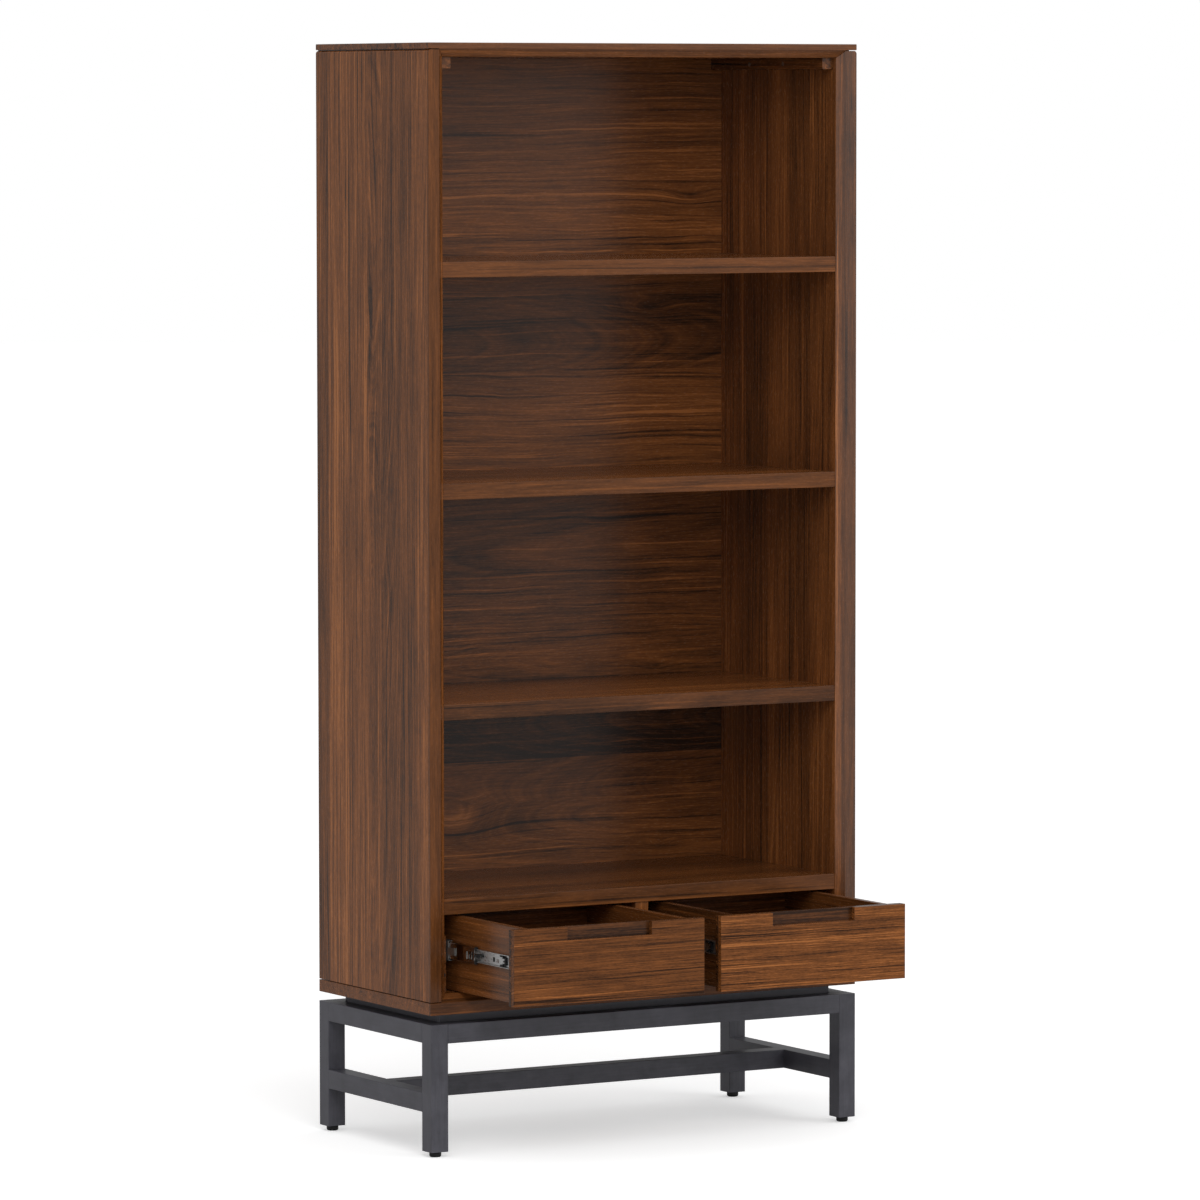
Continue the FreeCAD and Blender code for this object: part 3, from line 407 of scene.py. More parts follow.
def makeBeech(name, along="x"):
    made, tree, shader, place = startMaterial(name, {"Specular IOR Level": beechLook["shine"]})
    flecks = cloud(tree, drawnOut(tree, place, along, *beechLook["drawn"]), 3.0, 0.6)
    colour = ramp(tree, flecks, ((0.3, beechLook["dark"]), (0.7, beechLook["pale"])))
    setFinish(tree, shader, colour, total(tree, [weighted(tree, flecks, beechLook["satinFlecks"]), beechLook["satin"]]))
    return made


graphiteX, graphiteY, graphiteZ = [makeGraphite("graphite_" + axis, axis) for axis in "xyz"]
brightZinc = makeZinc("bright_zinc", (0.42, 0.43, 0.43), (0.68, 0.69, 0.69), 0.30)
polishedZinc = makeZinc("polished_zinc", (0.30, 0.28, 0.27), (0.52, 0.50, 0.48), 0.16)
cageZinc = makeZinc("cage_zinc", (0.40, 0.40, 0.39), (0.64, 0.64, 0.62), 0.46)
screwZinc = makeZinc("screw_zinc", (0.34, 0.33, 0.31), (0.60, 0.59, 0.56), 0.34, "z")
blackPlastic = makeMoulded("black_plastic", (0.003, 0.003, 0.0035), (0.009, 0.009, 0.0095), 0.48, 1400.0)
bumperRubber = makeMoulded("bumper_rubber", (0.010, 0.010, 0.010), (0.026, 0.026, 0.026), 0.70, 900.0)
dowelBeech = makeBeech("dowel_beech")
print("finishes made")


# making and keeping pieces
def keepMesh(sheet, name, body, material, replaced=()):
    mesh = bpy.data.meshes.new(name)
    sheet.to_mesh(mesh)
    sheet.free()
    mesh.materials.append(material)
    for face in mesh.polygons:
        face.use_smooth = True
    made = bpy.data.objects.new(name, mesh)
    scene.collection.objects.link(made)
    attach(made, body)
    if replaced:
        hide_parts(*replaced)
    return made


def evenLight(piece):  # flat faces stay flat where a rounded edge runs into them
    modifier = piece.modifiers.new("even light", "WEIGHTED_NORMAL")
    modifier.keep_sharp = True
    modifier.weight = 60


def bevelEdges(sheet, edges, offset, segments=2):
    bmesh.ops.bevel(sheet, geom=edges, offset=offset, offset_type="OFFSET", segments=segments, profile=0.5,
                    affect="EDGES", material=-1, clamp_overlap=False)


# edges turned more than arris degrees and longer than shortest are rounded; creases above sharp stay hard
# points nearer than weld are joined before the rounding, and those nearer than sliver after it
boardEdges = {"arris": 30, "shortest": 0.014, "sharp": 40, "flat": 0.5, "weld": 0.00001, "sliver": 0.00002}


def finerCopy(node, name, body, material, ease):
    sheet = bmesh.new()
    sheet.from_mesh(frame["nodes"][node].data)
    bmesh.ops.remove_doubles(sheet, verts=sheet.verts, dist=boardEdges["weld"])
    bmesh.ops.dissolve_limit(sheet, angle_limit=math.radians(boardEdges["flat"]), verts=sheet.verts, edges=sheet.edges)
    bmesh.ops.recalc_face_normals(sheet, faces=sheet.faces)
    bevelEdges(sheet, [edge for edge in sheet.edges if edge.is_manifold and edge.is_convex
                       and edge.calc_face_angle() > math.radians(boardEdges["arris"])
                       and edge.calc_length() > boardEdges["shortest"]], ease)
    bmesh.ops.remove_doubles(sheet, verts=sheet.verts, dist=boardEdges["sliver"])
    for edge in sheet.edges:
        edge.smooth = not (edge.is_manifold and edge.calc_face_angle() > math.radians(boardEdges["sharp"]))
    evenLight(keepMesh(sheet, name, body, material, (node,)))


def dress(node, material):
    piece = frame["nodes"][node]
    if not piece.material_slots:
        piece.data.materials.append(material)
    for holder in piece.material_slots:
        holder.link = "OBJECT"
        holder.material = material


# walnut boards and panels
# place, size, lift and shade of each knot; one with no lift is a broad patch that makes the board lighter or darker
backKnots = (
    ((-0.150, -0.525), (0.080, 0.042), 0.024, 0.30), ((0.256, -0.588), (0.030, 0.011), 0.009, -0.20),
    ((0.246, -0.277), (0.034, 0.012), 0.008, -0.20), ((0.226, 0.341), (0.060, 0.014), 0.010, -0.20),
    ((0.317, 0.535), (0.040, 0.014), 0.007, -0.20),
    # broad patches on the back panel's right part: painted light in the second bay from the top, painted shade in the
    # lowest bay
    ((0.250, 0.220), (0.300, 0.300), 0.0, 0.10), ((0.250, -0.450), (0.300, 0.240), 0.0, -0.08))
leftKnots = (
    ((0.520, -0.012), (0.150, 0.016), 0.012, -0.06), ((0.330, -0.004), (0.140, 0.020), 0.016, -0.08),
    ((0.060, -0.060), (0.060, 0.016), 0.010, -0.16), ((-0.130, -0.060), (0.070, 0.020), 0.012, -0.16),
    # broad patches on the front edge: painted shade towards the top, painted light towards the bottom
    ((0.560, -0.193), (0.500, 0.040), 0.0, -0.07), ((-0.560, -0.193), (0.500, 0.040), 0.0, 0.06))
rightShades = (
    # the first two lighten the inner face in the top bay and the lowest bay: painted light; the last darkens the front
    # edge towards the top
    ((0.600, 0.030), (0.500, 0.300), 0.0, 0.20), ((-0.520, 0.000), (0.500, 0.600), 0.0, 0.16),
    ((0.560, -0.193), (0.500, 0.060), 0.0, -0.10))
# start, heart and tone of each stave: the left side panel's from the front, the back panel's from its lower edge
leftStaves = (
    (-0.193, -0.400, 0.12), (-0.152, -0.420, 0.03), (-0.094, -0.020, 0.00), (-0.034, 0.012, 0.06),
    (0.012, 0.300, 0.15), (0.090, 0.420, 0.22), (0.152, -0.100, -0.03))
backStaves = (
    (-0.778, -0.700, 0.02), (-0.640, -0.560, 0.03), (-0.500, -0.470, 0.04), (-0.428, -0.360, -0.38),
    (-0.290, -0.250, -0.10), (-0.215, -0.100, -0.13), (-0.105, -0.060, -0.07), (0.020, 0.200, 0.00),
    (0.125, 0.330, 0.05), (0.236, 0.300, -0.17), (0.365, 0.550, 0.03), (0.470, 0.250, 0.07),
    (0.560, 0.900, 0.12), (0.690, 0.950, 0.04))
# what a board has unless it says otherwise
boardDefaults = {
    "tone": 0.0, "figure": 1.0, "bend": 0.4, "shine": walnutLook["shine"], "short": 1.0, "fine": 1.0,
    "paintedLightSlope": 0.0, "away": 0.12, "staves": (), "knots": (),
}
# a board's lipping value is the tone of the strip along its front edge; its darker tone is painted shade on the front
# faces
carcassBoards = {
    "left_side_panel": {"along": "z", "across": "y", "seed": 2.3, "plank": 0.078, "ease": 0.0008, "bend": 0.35,
                        "shine": 0.21, "figure": 1.15, "lipping": -0.12, "staves": leftStaves, "knots": leftKnots},
    "right_side_panel": {"along": "z", "across": "y", "seed": 5.1, "plank": 0.084, "ease": 0.0008, "tone": 0.03,
                         "shine": 0.56, "lipping": -0.20, "knots": rightShades},
    "top_board": {"along": "x", "across": "y", "seed": 7.7, "plank": 0.095, "ease": 0.0008, "tone": -0.02,
                  "lipping": -0.08},
    "bottom_board": {"along": "x", "across": "y", "seed": 1.9, "plank": 0.090, "ease": 0.0008, "tone": -0.04,
                     "shine": 0.22, "figure": 0.70, "lipping": -0.20},
    # the back panel's slope is painted light, lighter towards its right end
    "back_panel": {"along": "x", "across": "z", "seed": 4.4, "plank": 0.118, "ease": 0.0004, "bend": 0.8,
                   "figure": 0.96, "short": 1.2, "paintedLightSlope": 0.14, "staves": backStaves, "knots": backKnots},
    "upper_shelf": {"along": "x", "across": "y", "seed": 8.2, "plank": 0.092, "ease": 0.0010, "tone": 0.02,
                    "shine": 0.24, "figure": 0.85, "lipping": -0.02},
    "middle_shelf": {"along": "x", "across": "y", "seed": 3.6, "plank": 0.092, "ease": 0.0010, "tone": 0.02,
                     "shine": 0.22, "figure": 0.85, "lipping": -0.12},
    "lower_shelf": {"along": "x", "across": "y", "seed": 6.5, "plank": 0.092, "ease": 0.0010, "tone": 0.02,
                    "shine": 0.24, "figure": 0.85, "lipping": -0.21},
    "drawer_deck": {"along": "x", "across": "y", "seed": 9.4, "plank": 0.092, "ease": 0.0010, "tone": -0.10,
                    "shine": 0.20, "lipping": -0.14},
    "drawer_divider": {"along": "z", "across": "y", "seed": 2.8, "plank": 0.090, "ease": 0.0008},
    # the cleats' darker tones are painted shade under the top board, deeper on the right one
    "left_top_cleat": {"along": "y", "across": "z", "seed": 1.2, "plank": 0.060, "ease": 0.0008, "tone": -0.10},
    "right_top_cleat": {"along": "y", "across": "z", "seed": 5.9, "plank": 0.060, "ease": 0.0008, "tone": -0.25},
    "left_bay_packers": {"along": "y", "across": "z", "seed": 3.3, "plank": 0.093, "ease": 0.0006},
    "right_bay_packers": {"along": "y", "across": "z", "seed": 4.9, "plank": 0.093, "ease": 0.0006},
}
drawerBoards = {
    "drawer_face": {"along": "x", "across": "z", "seed": 6.1, "plank": 0.130, "ease": 0.0008, "bend": 0.10,
                    "shine": 0.14, "away": 0.45, "short": 1.1, "fine": 1.6},
    # the backing is darker wood, and its tone also paints the shade in the handle recess, where it shows
    "drawer_backing": {"along": "x", "across": "z", "seed": 7.3, "plank": 0.130, "ease": 0.0006, "tone": -0.36,
                       "bend": 0.10, "shine": 0.20, "away": 0.45},
    "drawer_left_side": {"along": "y", "across": "z", "seed": 2.6, "plank": 0.125, "ease": 0.0008, "tone": -0.06,
                         "figure": 0.60, "bend": 0.15, "away": 0.45},
    "drawer_right_side": {"along": "y", "across": "z", "seed": 8.8, "plank": 0.125, "ease": 0.0008, "tone": -0.08,
                          "figure": 0.60, "bend": 0.15, "away": 0.45},
    "drawer_back": {"along": "x", "across": "z", "seed": 1.4, "plank": 0.125, "ease": 0.0008, "tone": -0.14,
                    "bend": 0.15, "away": 0.45},
    "drawer_bottom": {"along": "x", "across": "y", "seed": 5.5, "plank": 0.150, "ease": 0.0003, "tone": -0.14,
                      "bend": 0.15, "away": 0.45},
}
# what differs between the drawers: the right one's face is lighter, painted light from the right, and its left side is
# darker, painted shade in the gap between the drawers
drawerLooks = {
    "left": {"drawer_face": {"tone": 0.07, "figure": 1.0}},
    "right": {"drawer_face": {"tone": 0.13, "figure": 1.45}, "drawer_left_side": {"tone": -0.24}},
}
drawerSeeds = {"left": 0.0, "right": 3.17}  # added to each board's seed, so that the drawers differ
lipping = {"wide": 0.005, "heart": -0.5, "figure": 0.62}  # a solid strip along a board's front edge, plainer than it


def makeBoard(node, body, given, seed):
    facts = {**boardDefaults, **given}
    low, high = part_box(node)
    width = (high - low)["xyz".index(facts["across"])]
    staves = facts["staves"] or cutStaves(width, facts, seed)
    staves = [(*stave, facts["figure"]) for stave in staves]
    # the strip takes the board's lipping tone: painted shade on its front edge
    if "lipping" in facts:
        start, *rest = staves[0]
        strip = (start, lipping["heart"], facts["lipping"], lipping["figure"])
        staves[:1] = [strip, (start + lipping["wide"], *rest)]
    walnut = makeWalnut("walnut_" + node, (low + high) / 2, facts, seed, staves)
    finerCopy(node, node + "_board", body, walnut, facts["ease"])


for node, facts in carcassBoards.items():
    makeBoard(node, "carcass_and_stand", facts, facts["seed"])
for side, looks in drawerLooks.items():
    for piece, facts in drawerBoards.items():
        made = {**facts, **looks.get(piece, {})}
        makeBoard(side + "_" + piece, side + "_drawer", made, facts["seed"] + drawerSeeds[side])
print("walnut boards made")

# stand and fastenings keep their own meshes
standFinish = {
    "front_left_leg": graphiteZ, "front_right_leg": graphiteZ, "back_left_leg": graphiteZ, "back_right_leg": graphiteZ,
    "front_top_rail": graphiteX, "back_top_rail": graphiteX, "left_top_rail": graphiteY, "right_top_rail": graphiteY,
    "left_stretcher": graphiteY, "right_stretcher": graphiteY, "long_stretcher": graphiteX,
    "long_carrier_bars": graphiteX, "short_carrier_bars": graphiteY,
    "panel_dowels": dowelBeech, "cleat_screws": screwZinc, "back_panel_screws": screwZinc, "packer_screws": screwZinc,
    "runner_screws": screwZinc, "base_bolts": screwZinc, "base_inserts": screwZinc, "drawer_bumpers": bumperRubber,
    "left_drawer_screws": screwZinc, "right_drawer_screws": screwZinc,
}
for node, material in standFinish.items():
    dress(node, material)
print("stand and fastenings finished")


# drawer runners
# each is measured off the packer that carries it: out from the packer, along the bay, up from the runner's middle
# creases over crease degrees are rounded where they are longer than shortest, so not on the plastic ends
runner = {"level": 0.3375, "strip": 0.0012, "cageStrip": 0.0006, "fold": 0.0003, "crease": 12, "shortest": 0.01,
          "sharp": 35}
# outer surface of each folded strip, from its web to its lip: out and up
members = {
    "outer": ((0.0000, 0.0160), (0.0010, 0.0178), (0.0052, 0.0172), (0.0095, 0.0179)),
    "middle": ((0.0034, 0.0124), (0.0044, 0.0142), (0.0074, 0.0136), (0.0105, 0.0143)),
    "inner": ((0.0127, 0.0094), (0.0118, 0.0109), (0.0092, 0.0103), (0.0064, 0.0109)),
}
# first and last are how far the end balls stand from a cage's front and rear ends
cages = {
    "outer": {"line": ((0.00195, 0.0152), (0.0029, 0.0163), (0.0094, 0.0163)), "ball": 0.0011,
              "track": (0.0062, 0.0156), "first": 0.027, "last": 0.006, "count": 18},
    "inner": {"line": ((0.00515, 0.0114), (0.0060, 0.0125), (0.0101, 0.0125)), "ball": 0.0010,
              "track": (0.0082, 0.0121), "first": 0.006, "last": 0.006, "count": 12},
}
cageCorner = {"size": (0.016, 0.044, 0.012), "out": 0.006, "up": 0.0122, "ease": 0.0008}  # cut off an outer cage
capEnds = {"thick": 0.0018, "long": 0.0030}  # plastic ends on the outer member
# openings in the webs: along, up, length, height
openings = {
    "outer": ((-0.140, 0.0, 0.014, 0.0046), (0.000, 0.0, 0.018, 0.0046), (0.118, 0.0, 0.014, 0.0046)),
    "middle": ((-0.2235, -0.0010, 0.0052, 0.0132), (-0.2320, -0.0010, 0.0052, 0.0132),
               (-0.2405, -0.0010, 0.0052, 0.0132), (-0.060, 0.0, 0.030, 0.008), (0.010, 0.0, 0.016, 0.0046)),
    "inner": ((-0.2985, -0.0012, 0.0070, 0.0080), (-0.3085, -0.0024, 0.0022, 0.0066),
              (-0.3130, -0.0024, 0.0022, 0.0066), (-0.2400, 0.0, 0.0150, 0.0046), (-0.1100, 0.0, 0.0150, 0.0046)),
}
punchTool = {"deep": 0.006, "round": 0.42, "segments": 4}  # round is a share of an opening's narrow side


def spanOf(edge):  # how far an edge goes along x, y and z
    return edge.verts[0].co - edge.verts[1].co


def foldStrip(line, start, end, thick):  # a strip folded along a line, the same above and below its middle
    sheet = bmesh.new()
    points = [(out, -up) for out, up in reversed(line)] + list(line)
    chain = [sheet.verts.new((out, start, up)) for out, up in points]
    folds = [sheet.edges.new(pair) for pair in zip(chain, chain[1:])]
    pulled = bmesh.ops.extrude_edge_only(sheet, edges=folds)["geom"]
    far = [part for part in pulled if isinstance(part, bmesh.types.BMVert)]
    bmesh.ops.translate(sheet, verts=far, vec=(0, end - start, 0))
    bmesh.ops.recalc_face_normals(sheet, faces=sheet.faces)
    sheet.normal_update()
    web = max(sheet.faces, key=lambda face: abs(face.normal.x) * face.calc_area())
    opens = line[-1][0] - line[0][0]
    if web.normal.x * opens > 0:  # the strip gets its thickness on the side it opens to
        bmesh.ops.reverse_faces(sheet, faces=sheet.faces)
    bmesh.ops.solidify(sheet, geom=sheet.faces[:], thickness=thick)
    bmesh.ops.recalc_face_normals(sheet, faces=sheet.faces)
    creases = [edge for edge in sheet.edges if abs(spanOf(edge).y) > runner["shortest"]
               and edge.calc_face_angle() > math.radians(runner["crease"])]
    bevelEdges(sheet, creases, runner["fold"] * thick / runner["strip"])
    return sheet


def scaledBlock(size):
    block = bmesh.new()
    bmesh.ops.create_cube(block, size=1)
    bmesh.ops.scale(block, verts=block.verts, vec=size)
    return block


def easedBlock(size, centre, ease):
    block = scaledBlock(size)
    bevelEdges(block, block.edges[:], ease)
    bmesh.ops.translate(block, verts=block.verts, vec=centre)
    return block


def pour(into, sheet):  # adds one mesh in the making to another
    holder = bpy.data.meshes.new("pour")
    sheet.to_mesh(holder)
    sheet.free()
    into.from_mesh(holder)
    bpy.data.meshes.remove(holder)


def punch(sheet, tools):  # cuts the tools out of a sheet
    plate, tool = bpy.data.meshes.new("plate"), bpy.data.meshes.new("tool")
    sheet.to_mesh(plate)
    sheet.free()
    tools.to_mesh(tool)
    tools.free()
    work, cutter = bpy.data.objects.new("work", plate), bpy.data.objects.new("cutter", tool)
    scene.collection.objects.link(work)
    scene.collection.objects.link(cutter)
    cut = work.modifiers.new("openings", "BOOLEAN")
    cut.operation, cut.solver, cut.object = "DIFFERENCE", "EXACT", cutter
    done = bpy.data.meshes.new_from_object(work.evaluated_get(bpy.context.evaluated_depsgraph_get()))
    result = bmesh.new()
    result.from_mesh(done)
    for spent in (work, cutter):
        bpy.data.objects.remove(spent)
    for spent in (plate, tool, done):
        bpy.data.meshes.remove(spent)
    return result


def roundEnded(holes, out):  # tools for round-ended openings in a web
    tools = bmesh.new()
    for along, up, length, height in holes:
        block = scaledBlock((punchTool["deep"], length, height))
        corners = [edge for edge in block.edges if abs(spanOf(edge).x) > punchTool["deep"] / 2]
        bevelEdges(block, corners, min(length, height) * punchTool["round"], punchTool["segments"])
        bmesh.ops.translate(block, verts=block.verts, vec=(out, along, up))
        pour(tools, block)
    return tools


def setAtRunner(sheet, wall, way):  # from the runner's own measures to its place in the bookcase
    for vert in sheet.verts:
        vert.co.x = wall + way * vert.co.x
        vert.co.z += runner["level"]
    if way < 0:
        bmesh.ops.reverse_faces(sheet, faces=sheet.faces)
    return sheet


def sharpen(sheet):
    for edge in sheet.edges:
        edge.smooth = not (len(edge.link_faces) == 2 and edge.calc_face_angle() > math.radians(runner["sharp"]))


def makeMember(kind):
    low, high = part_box("left_" + kind + "_runners")
    inset = capEnds["long"] if kind == "outer" else 0
    sheet = foldStrip(members[kind], low.y + inset, high.y - inset, runner["strip"])
    return punch(sheet, roundEnded(openings[kind], members[kind][0][0]))


def makeCaps():  # black ends that sleeve the outer member
    low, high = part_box("left_outer_runners")
    sheet = bmesh.new()
    for start, end in ((low.y, low.y + capEnds["long"]), (high.y - capEnds["long"], high.y)):
        pour(sheet, foldStrip(members["outer"], start, end, capEnds["thick"]))
    return sheet


def makeCage(kind):
    facts = cages[kind]
    low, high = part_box("left_" + kind + "_cages")
    sheet = foldStrip(facts["line"], low.y, high.y, runner["cageStrip"])
    if kind == "outer":  # only a tongue of its web reaches the front end
        tools = bmesh.new()
        for side in (-1, 1):
            corner = (cageCorner["out"], low.y, side * cageCorner["up"])
            pour(tools, easedBlock(cageCorner["size"], corner, cageCorner["ease"]))
        sheet = punch(sheet, tools)
    out, up = facts["track"]
    first = low.y + facts["first"]
    for number in range(facts["count"]):
        along = first + (high.y - facts["last"] - first) * number / (facts["count"] - 1)
        for side in (-1, 1):
            ball = bmesh.new()
            bmesh.ops.create_uvsphere(ball, u_segments=8, v_segments=6, radius=facts["ball"])
            bmesh.ops.translate(ball, verts=ball.verts, vec=(out, along, side * up))
            pour(sheet, ball)
    return sheet


# moulded parts: size and centre of each block, out from the packer, along and up
catchBlocks = (  # the release catch inside the inner member
    ((0.0046, 0.0100, 0.0040), (0.0092, -0.3300, 0.0081)), ((0.0046, 0.0100, 0.0040), (0.0092, -0.3300, -0.0081)),
    ((0.0030, 0.0036, 0.0122), (0.0098, -0.3395, -0.0002)), ((0.0030, 0.0090, 0.0028), (0.0098, -0.3355, 0.0048)),
    ((0.0030, 0.0090, 0.0026), (0.0098, -0.3355, -0.0056)), ((0.0024, 0.0050, 0.0030), (0.0101, -0.3350, -0.0008)),
    ((0.0010, 0.0066, 0.0076), (0.0118, -0.2985, -0.0012)))
stopBlocks = (  # the stops at the front end of the middle member
    ((0.0040, 0.0036, 0.0066), (0.0068, -0.2486, 0.0112)), ((0.0040, 0.0036, 0.0066), (0.0068, -0.2486, -0.0112)),
    ((0.0026, 0.0080, 0.0076), (0.0070, -0.2555, 0.0000)), ((0.0026, 0.0084, 0.0040), (0.0057, -0.2494, 0.0000)))
mouldedEase = 0.2  # share of a block's least side


def makeMoulding(blocks):
    sheet = bmesh.new()
    for size, centre in blocks:
        pour(sheet, easedBlock(size, centre, min(size) * mouldedEase))
    return sheet


# wall of the packer and the way the runner faces, per drawer
runnerPlaces = {"left": ((-0.3655, 1), (-0.0275, -1)), "right": ((0.0275, 1), (0.3655, -1))}
runnerPieces = (
    # name, maker, body, CAD node, material, slot
    ("outer_members", lambda: makeMember("outer"), "carcass_and_stand", "outer_runners", brightZinc, "zinc_steel"),
    ("outer_member_ends", makeCaps, "carcass_and_stand", None, blackPlastic, "black_plastic"),
    ("outer_ball_cages", lambda: makeCage("outer"), "outer_cages", "outer_cages", cageZinc, "zinc_steel"),
    ("middle_members", lambda: makeMember("middle"), "middle_runners", "middle_runners", polishedZinc, "zinc_steel"),
    ("middle_stops", lambda: makeMoulding(stopBlocks), "middle_runners", None, blackPlastic, "black_plastic"),
    ("inner_ball_cages", lambda: makeCage("inner"), "inner_cages", "inner_cages", cageZinc, "zinc_steel"),
    ("inner_members", lambda: makeMember("inner"), "drawer", "inner_runners", brightZinc, "zinc_steel"),
    ("release_catches", lambda: makeMoulding(catchBlocks), "drawer", None, blackPlastic, "black_plastic"),
)
for side, walls in runnerPlaces.items():
    for name, maker, body, node, material, slotName in runnerPieces:
        pair = bmesh.new()
        for wall, way in walls:
            pour(pair, setAtRunner(maker(), wall, way))
        sharpen(pair)
        rides = body if body == "carcass_and_stand" else side + "_" + body
        made = keepMesh(pair, side + "_" + name, rides, material, (side + "_" + node,) if node else ())
        evenLight(made)
print("drawer runners made")


# strips in the joints between the top board and the side panels, behind the shadow gap; their dark tone paints the
# shade deep in the gap
jointStrip = {"size": (0.0160, 0.3670, 0.0014), "centre": (0.4015, 0.0085, 1.8184), "ease": 0.0002, "seed": 3.9,
              "walnut": {"along": "y", "across": "x"}, "staves": ((-0.5, 0.3, -0.3, 0.6),)}


def makeJointStrips():
    strips = bmesh.new()
    out, along, up = jointStrip["centre"]
    for way in (-1, 1):
        pour(strips, easedBlock(jointStrip["size"], (way * out, along, up), jointStrip["ease"]))
    sharpen(strips)
    walnut = makeWalnut("walnut_joint_strips", (0, 0, 0), {**boardDefaults, **jointStrip["walnut"]},
                        jointStrip["seed"], jointStrip["staves"])
    keepMesh(strips, "top_joint_strips", "carcass_and_stand", walnut)


makeJointStrips()
print("joint strips made")


# glides under the legs
# half profile of a glide: radius and height; a turned disc with a soft foot, on its threaded stud
glide = {
    "profile": ((0.0, 0.0), (0.0080, 0.0), (0.0088, 0.0003), (0.0092, 0.0012), (0.0098, 0.0018), (0.0100, 0.0026),
                (0.0100, 0.0066), (0.0096, 0.0076), (0.0086, 0.0084), (0.0064, 0.0088), (0.0040, 0.0089)),
    "stud": 0.0040, "top": 0.0250, "pitch": 0.00125, "firstRidge": 0.0004, "groove": 0.90, "tip": 0.80,
    "steps": 40, "weld": 0.000001,
    "places": ((-0.397, -0.1775), (0.397, -0.1775), (-0.397, 0.1775), (0.397, 0.1775)),
}


def turnGlide():
    sheet = bmesh.new()
    points = list(glide["profile"])
    height = glide["profile"][-1][1] + glide["firstRidge"]
    while height + glide["pitch"] < glide["top"]:  # thread ridges
        points += [(glide["stud"] * glide["groove"], height), (glide["stud"], height + glide["pitch"] * 0.5)]
        height += glide["pitch"]
    points += [(glide["stud"] * glide["tip"], glide["top"]), (0.0, glide["top"])]
    chain = [sheet.verts.new((radius, 0, up)) for radius, up in points]
    edges = [sheet.edges.new(pair) for pair in zip(chain, chain[1:])]
    bmesh.ops.spin(sheet, geom=chain + edges, cent=(0, 0, 0), axis=(0, 0, 1), angle=math.tau, steps=glide["steps"],
                   use_merge=True)
    bmesh.ops.remove_doubles(sheet, verts=sheet.verts, dist=glide["weld"])
    bmesh.ops.recalc_face_normals(sheet, faces=sheet.faces)
    return sheet


def makeGlides():
    glides = bmesh.new()
    for x, y in glide["places"]:
        turned = turnGlide()
        bmesh.ops.translate(turned, verts=turned.verts, vec=(x, y, 0))
        pour(glides, turned)
    sharpen(glides)
    keepMesh(glides, "turned_glides", "carcass_and_stand", blackPlastic, ("glides",))


makeGlides()
print("glides turned")


# floor and light
studio = {
    "floor": 40.0, "floorSides": 96, "floorTone": 0.68, "floorSeen": 0.94, "floorLift": 0.43, "floorShine": 0.06,
    # light from in front of the bookcase and from behind it, and what shiny surfaces see there
    "soft": (0.80, 0.46), "softSpan": (-1.0, 1.0), "sky": (1.10, 0.48), "skySpan": (-0.6, 0.7), "backdrop": 1.0,
    "lamps": ({"name": "front_lamp", "place": (-3.5, -8.3, 7.0), "size": 6.4, "power": 360.0},
              {"name": "side_panel_lamp", "place": (7.0, -8.0, 6.8), "size": 4.8, "power": 160.0}),
    "aim": (0.0, 0.0, 0.9),
}


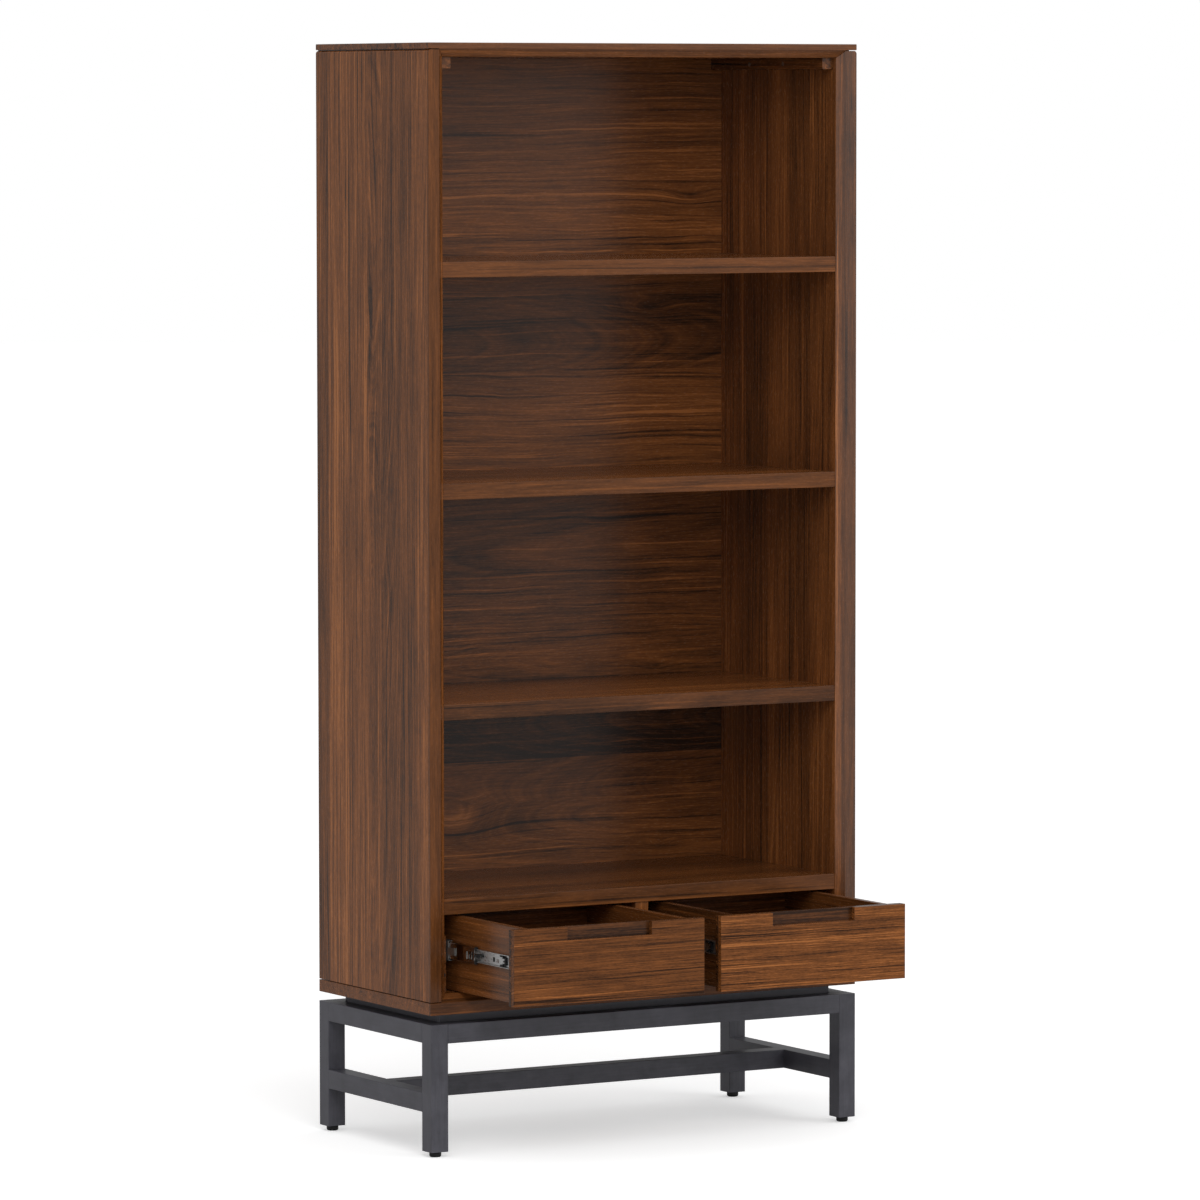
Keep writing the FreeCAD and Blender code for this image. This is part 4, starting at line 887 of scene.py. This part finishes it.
def makeFloor():
    sheet = bmesh.new()
    bmesh.ops.create_circle(sheet, cap_ends=True, segments=studio["floorSides"], radius=studio["floor"])
    mesh = bpy.data.meshes.new("studio_floor")
    sheet.to_mesh(mesh)
    sheet.free()
    floor = bpy.data.objects.new("studio_floor", mesh)
    scene.collection.objects.link(floor)
    made = bpy.data.materials.new("studio_floor")
    made.use_nodes = True
    tree = made.node_tree
    tree.nodes.clear()
    rays = addNode(tree, "ShaderNodeLightPath").outputs
    tone = sums(tree, "MULTIPLY_ADD", rays["Is Camera Ray"], studio["floorSeen"] - studio["floorTone"],
                studio["floorTone"])
    paint = addNode(tree, "ShaderNodeBsdfDiffuse", {"Color": tone})
    mirrored = sums(tree, "MAXIMUM", rays["Is Glossy Ray"], rays["Is Transmission Ray"])
    lift = sums(tree, "MULTIPLY_ADD", mirrored, studio["floorShine"],
                times(tree, rays["Is Camera Ray"], studio["floorLift"]))
    glow = addNode(tree, "ShaderNodeEmission", {"Color": (1, 1, 1, 1), "Strength": lift})
    seen = addNode(tree, "ShaderNodeAddShader", {0: paint.outputs[0], 1: glow.outputs[0]})
    # the floor can be looked through from below
    clear = addNode(tree, "ShaderNodeBsdfTransparent").outputs[0]
    under = addNode(tree, "ShaderNodeNewGeometry").outputs["Backfacing"]
    oneSided = addNode(tree, "ShaderNodeMixShader", {0: under, 1: seen.outputs[0], 2: clear})
    addNode(tree, "ShaderNodeOutputMaterial", {0: oneSided.outputs[0]})
    mesh.materials.append(made)


def makeSky():
    sky = bpy.data.worlds.new("studio")
    scene.world = sky
    sky.use_nodes = True
    tree = sky.node_tree
    tree.nodes.clear()

    def glowing(strength):
        return addNode(tree, "ShaderNodeBackground", {"Color": (1, 1, 1, 1), "Strength": strength}).outputs[0]

    rays = addNode(tree, "ShaderNodeLightPath").outputs
    mirrored = sums(tree, "MAXIMUM", rays["Is Glossy Ray"], rays["Is Transmission Ray"])
    shown = sums(tree, "MAXIMUM", rays["Is Camera Ray"], mirrored)
    # the room is brightest in front of the bookcase
    towards = addNode(tree, "ShaderNodeTexCoord").outputs["Generated"]
    way = addNode(tree, "ShaderNodeSeparateXYZ", {0: towards}).outputs["Y"]
    around = rise(tree, way, *studio["softSpan"], *studio["soft"])
    room = rise(tree, way, *studio["skySpan"], *studio["sky"])
    levels = {"Factor": rays["Is Camera Ray"], "A": room, "B": studio["backdrop"]}
    level = addNode(tree, "ShaderNodeMix", levels, data_type="FLOAT").outputs[0]
    mixed = addNode(tree, "ShaderNodeMixShader", {0: shown, 1: glowing(around), 2: glowing(level)})
    addNode(tree, "ShaderNodeOutputWorld", {0: mixed.outputs[0]})


def makeLamps():
    for facts in studio["lamps"]:
        lamp = bpy.data.lights.new(facts["name"], "AREA")
        lamp.size = facts["size"]
        lamp.energy = facts["power"]
        holder = bpy.data.objects.new(facts["name"], lamp)
        holder.location = facts["place"]
        towards = Vector(studio["aim"]) - Vector(facts["place"])
        holder.rotation_euler = towards.to_track_quat("-Z", "Y").to_euler()
        scene.collection.objects.link(holder)


makeFloor()
makeSky()
makeLamps()
print("studio made")
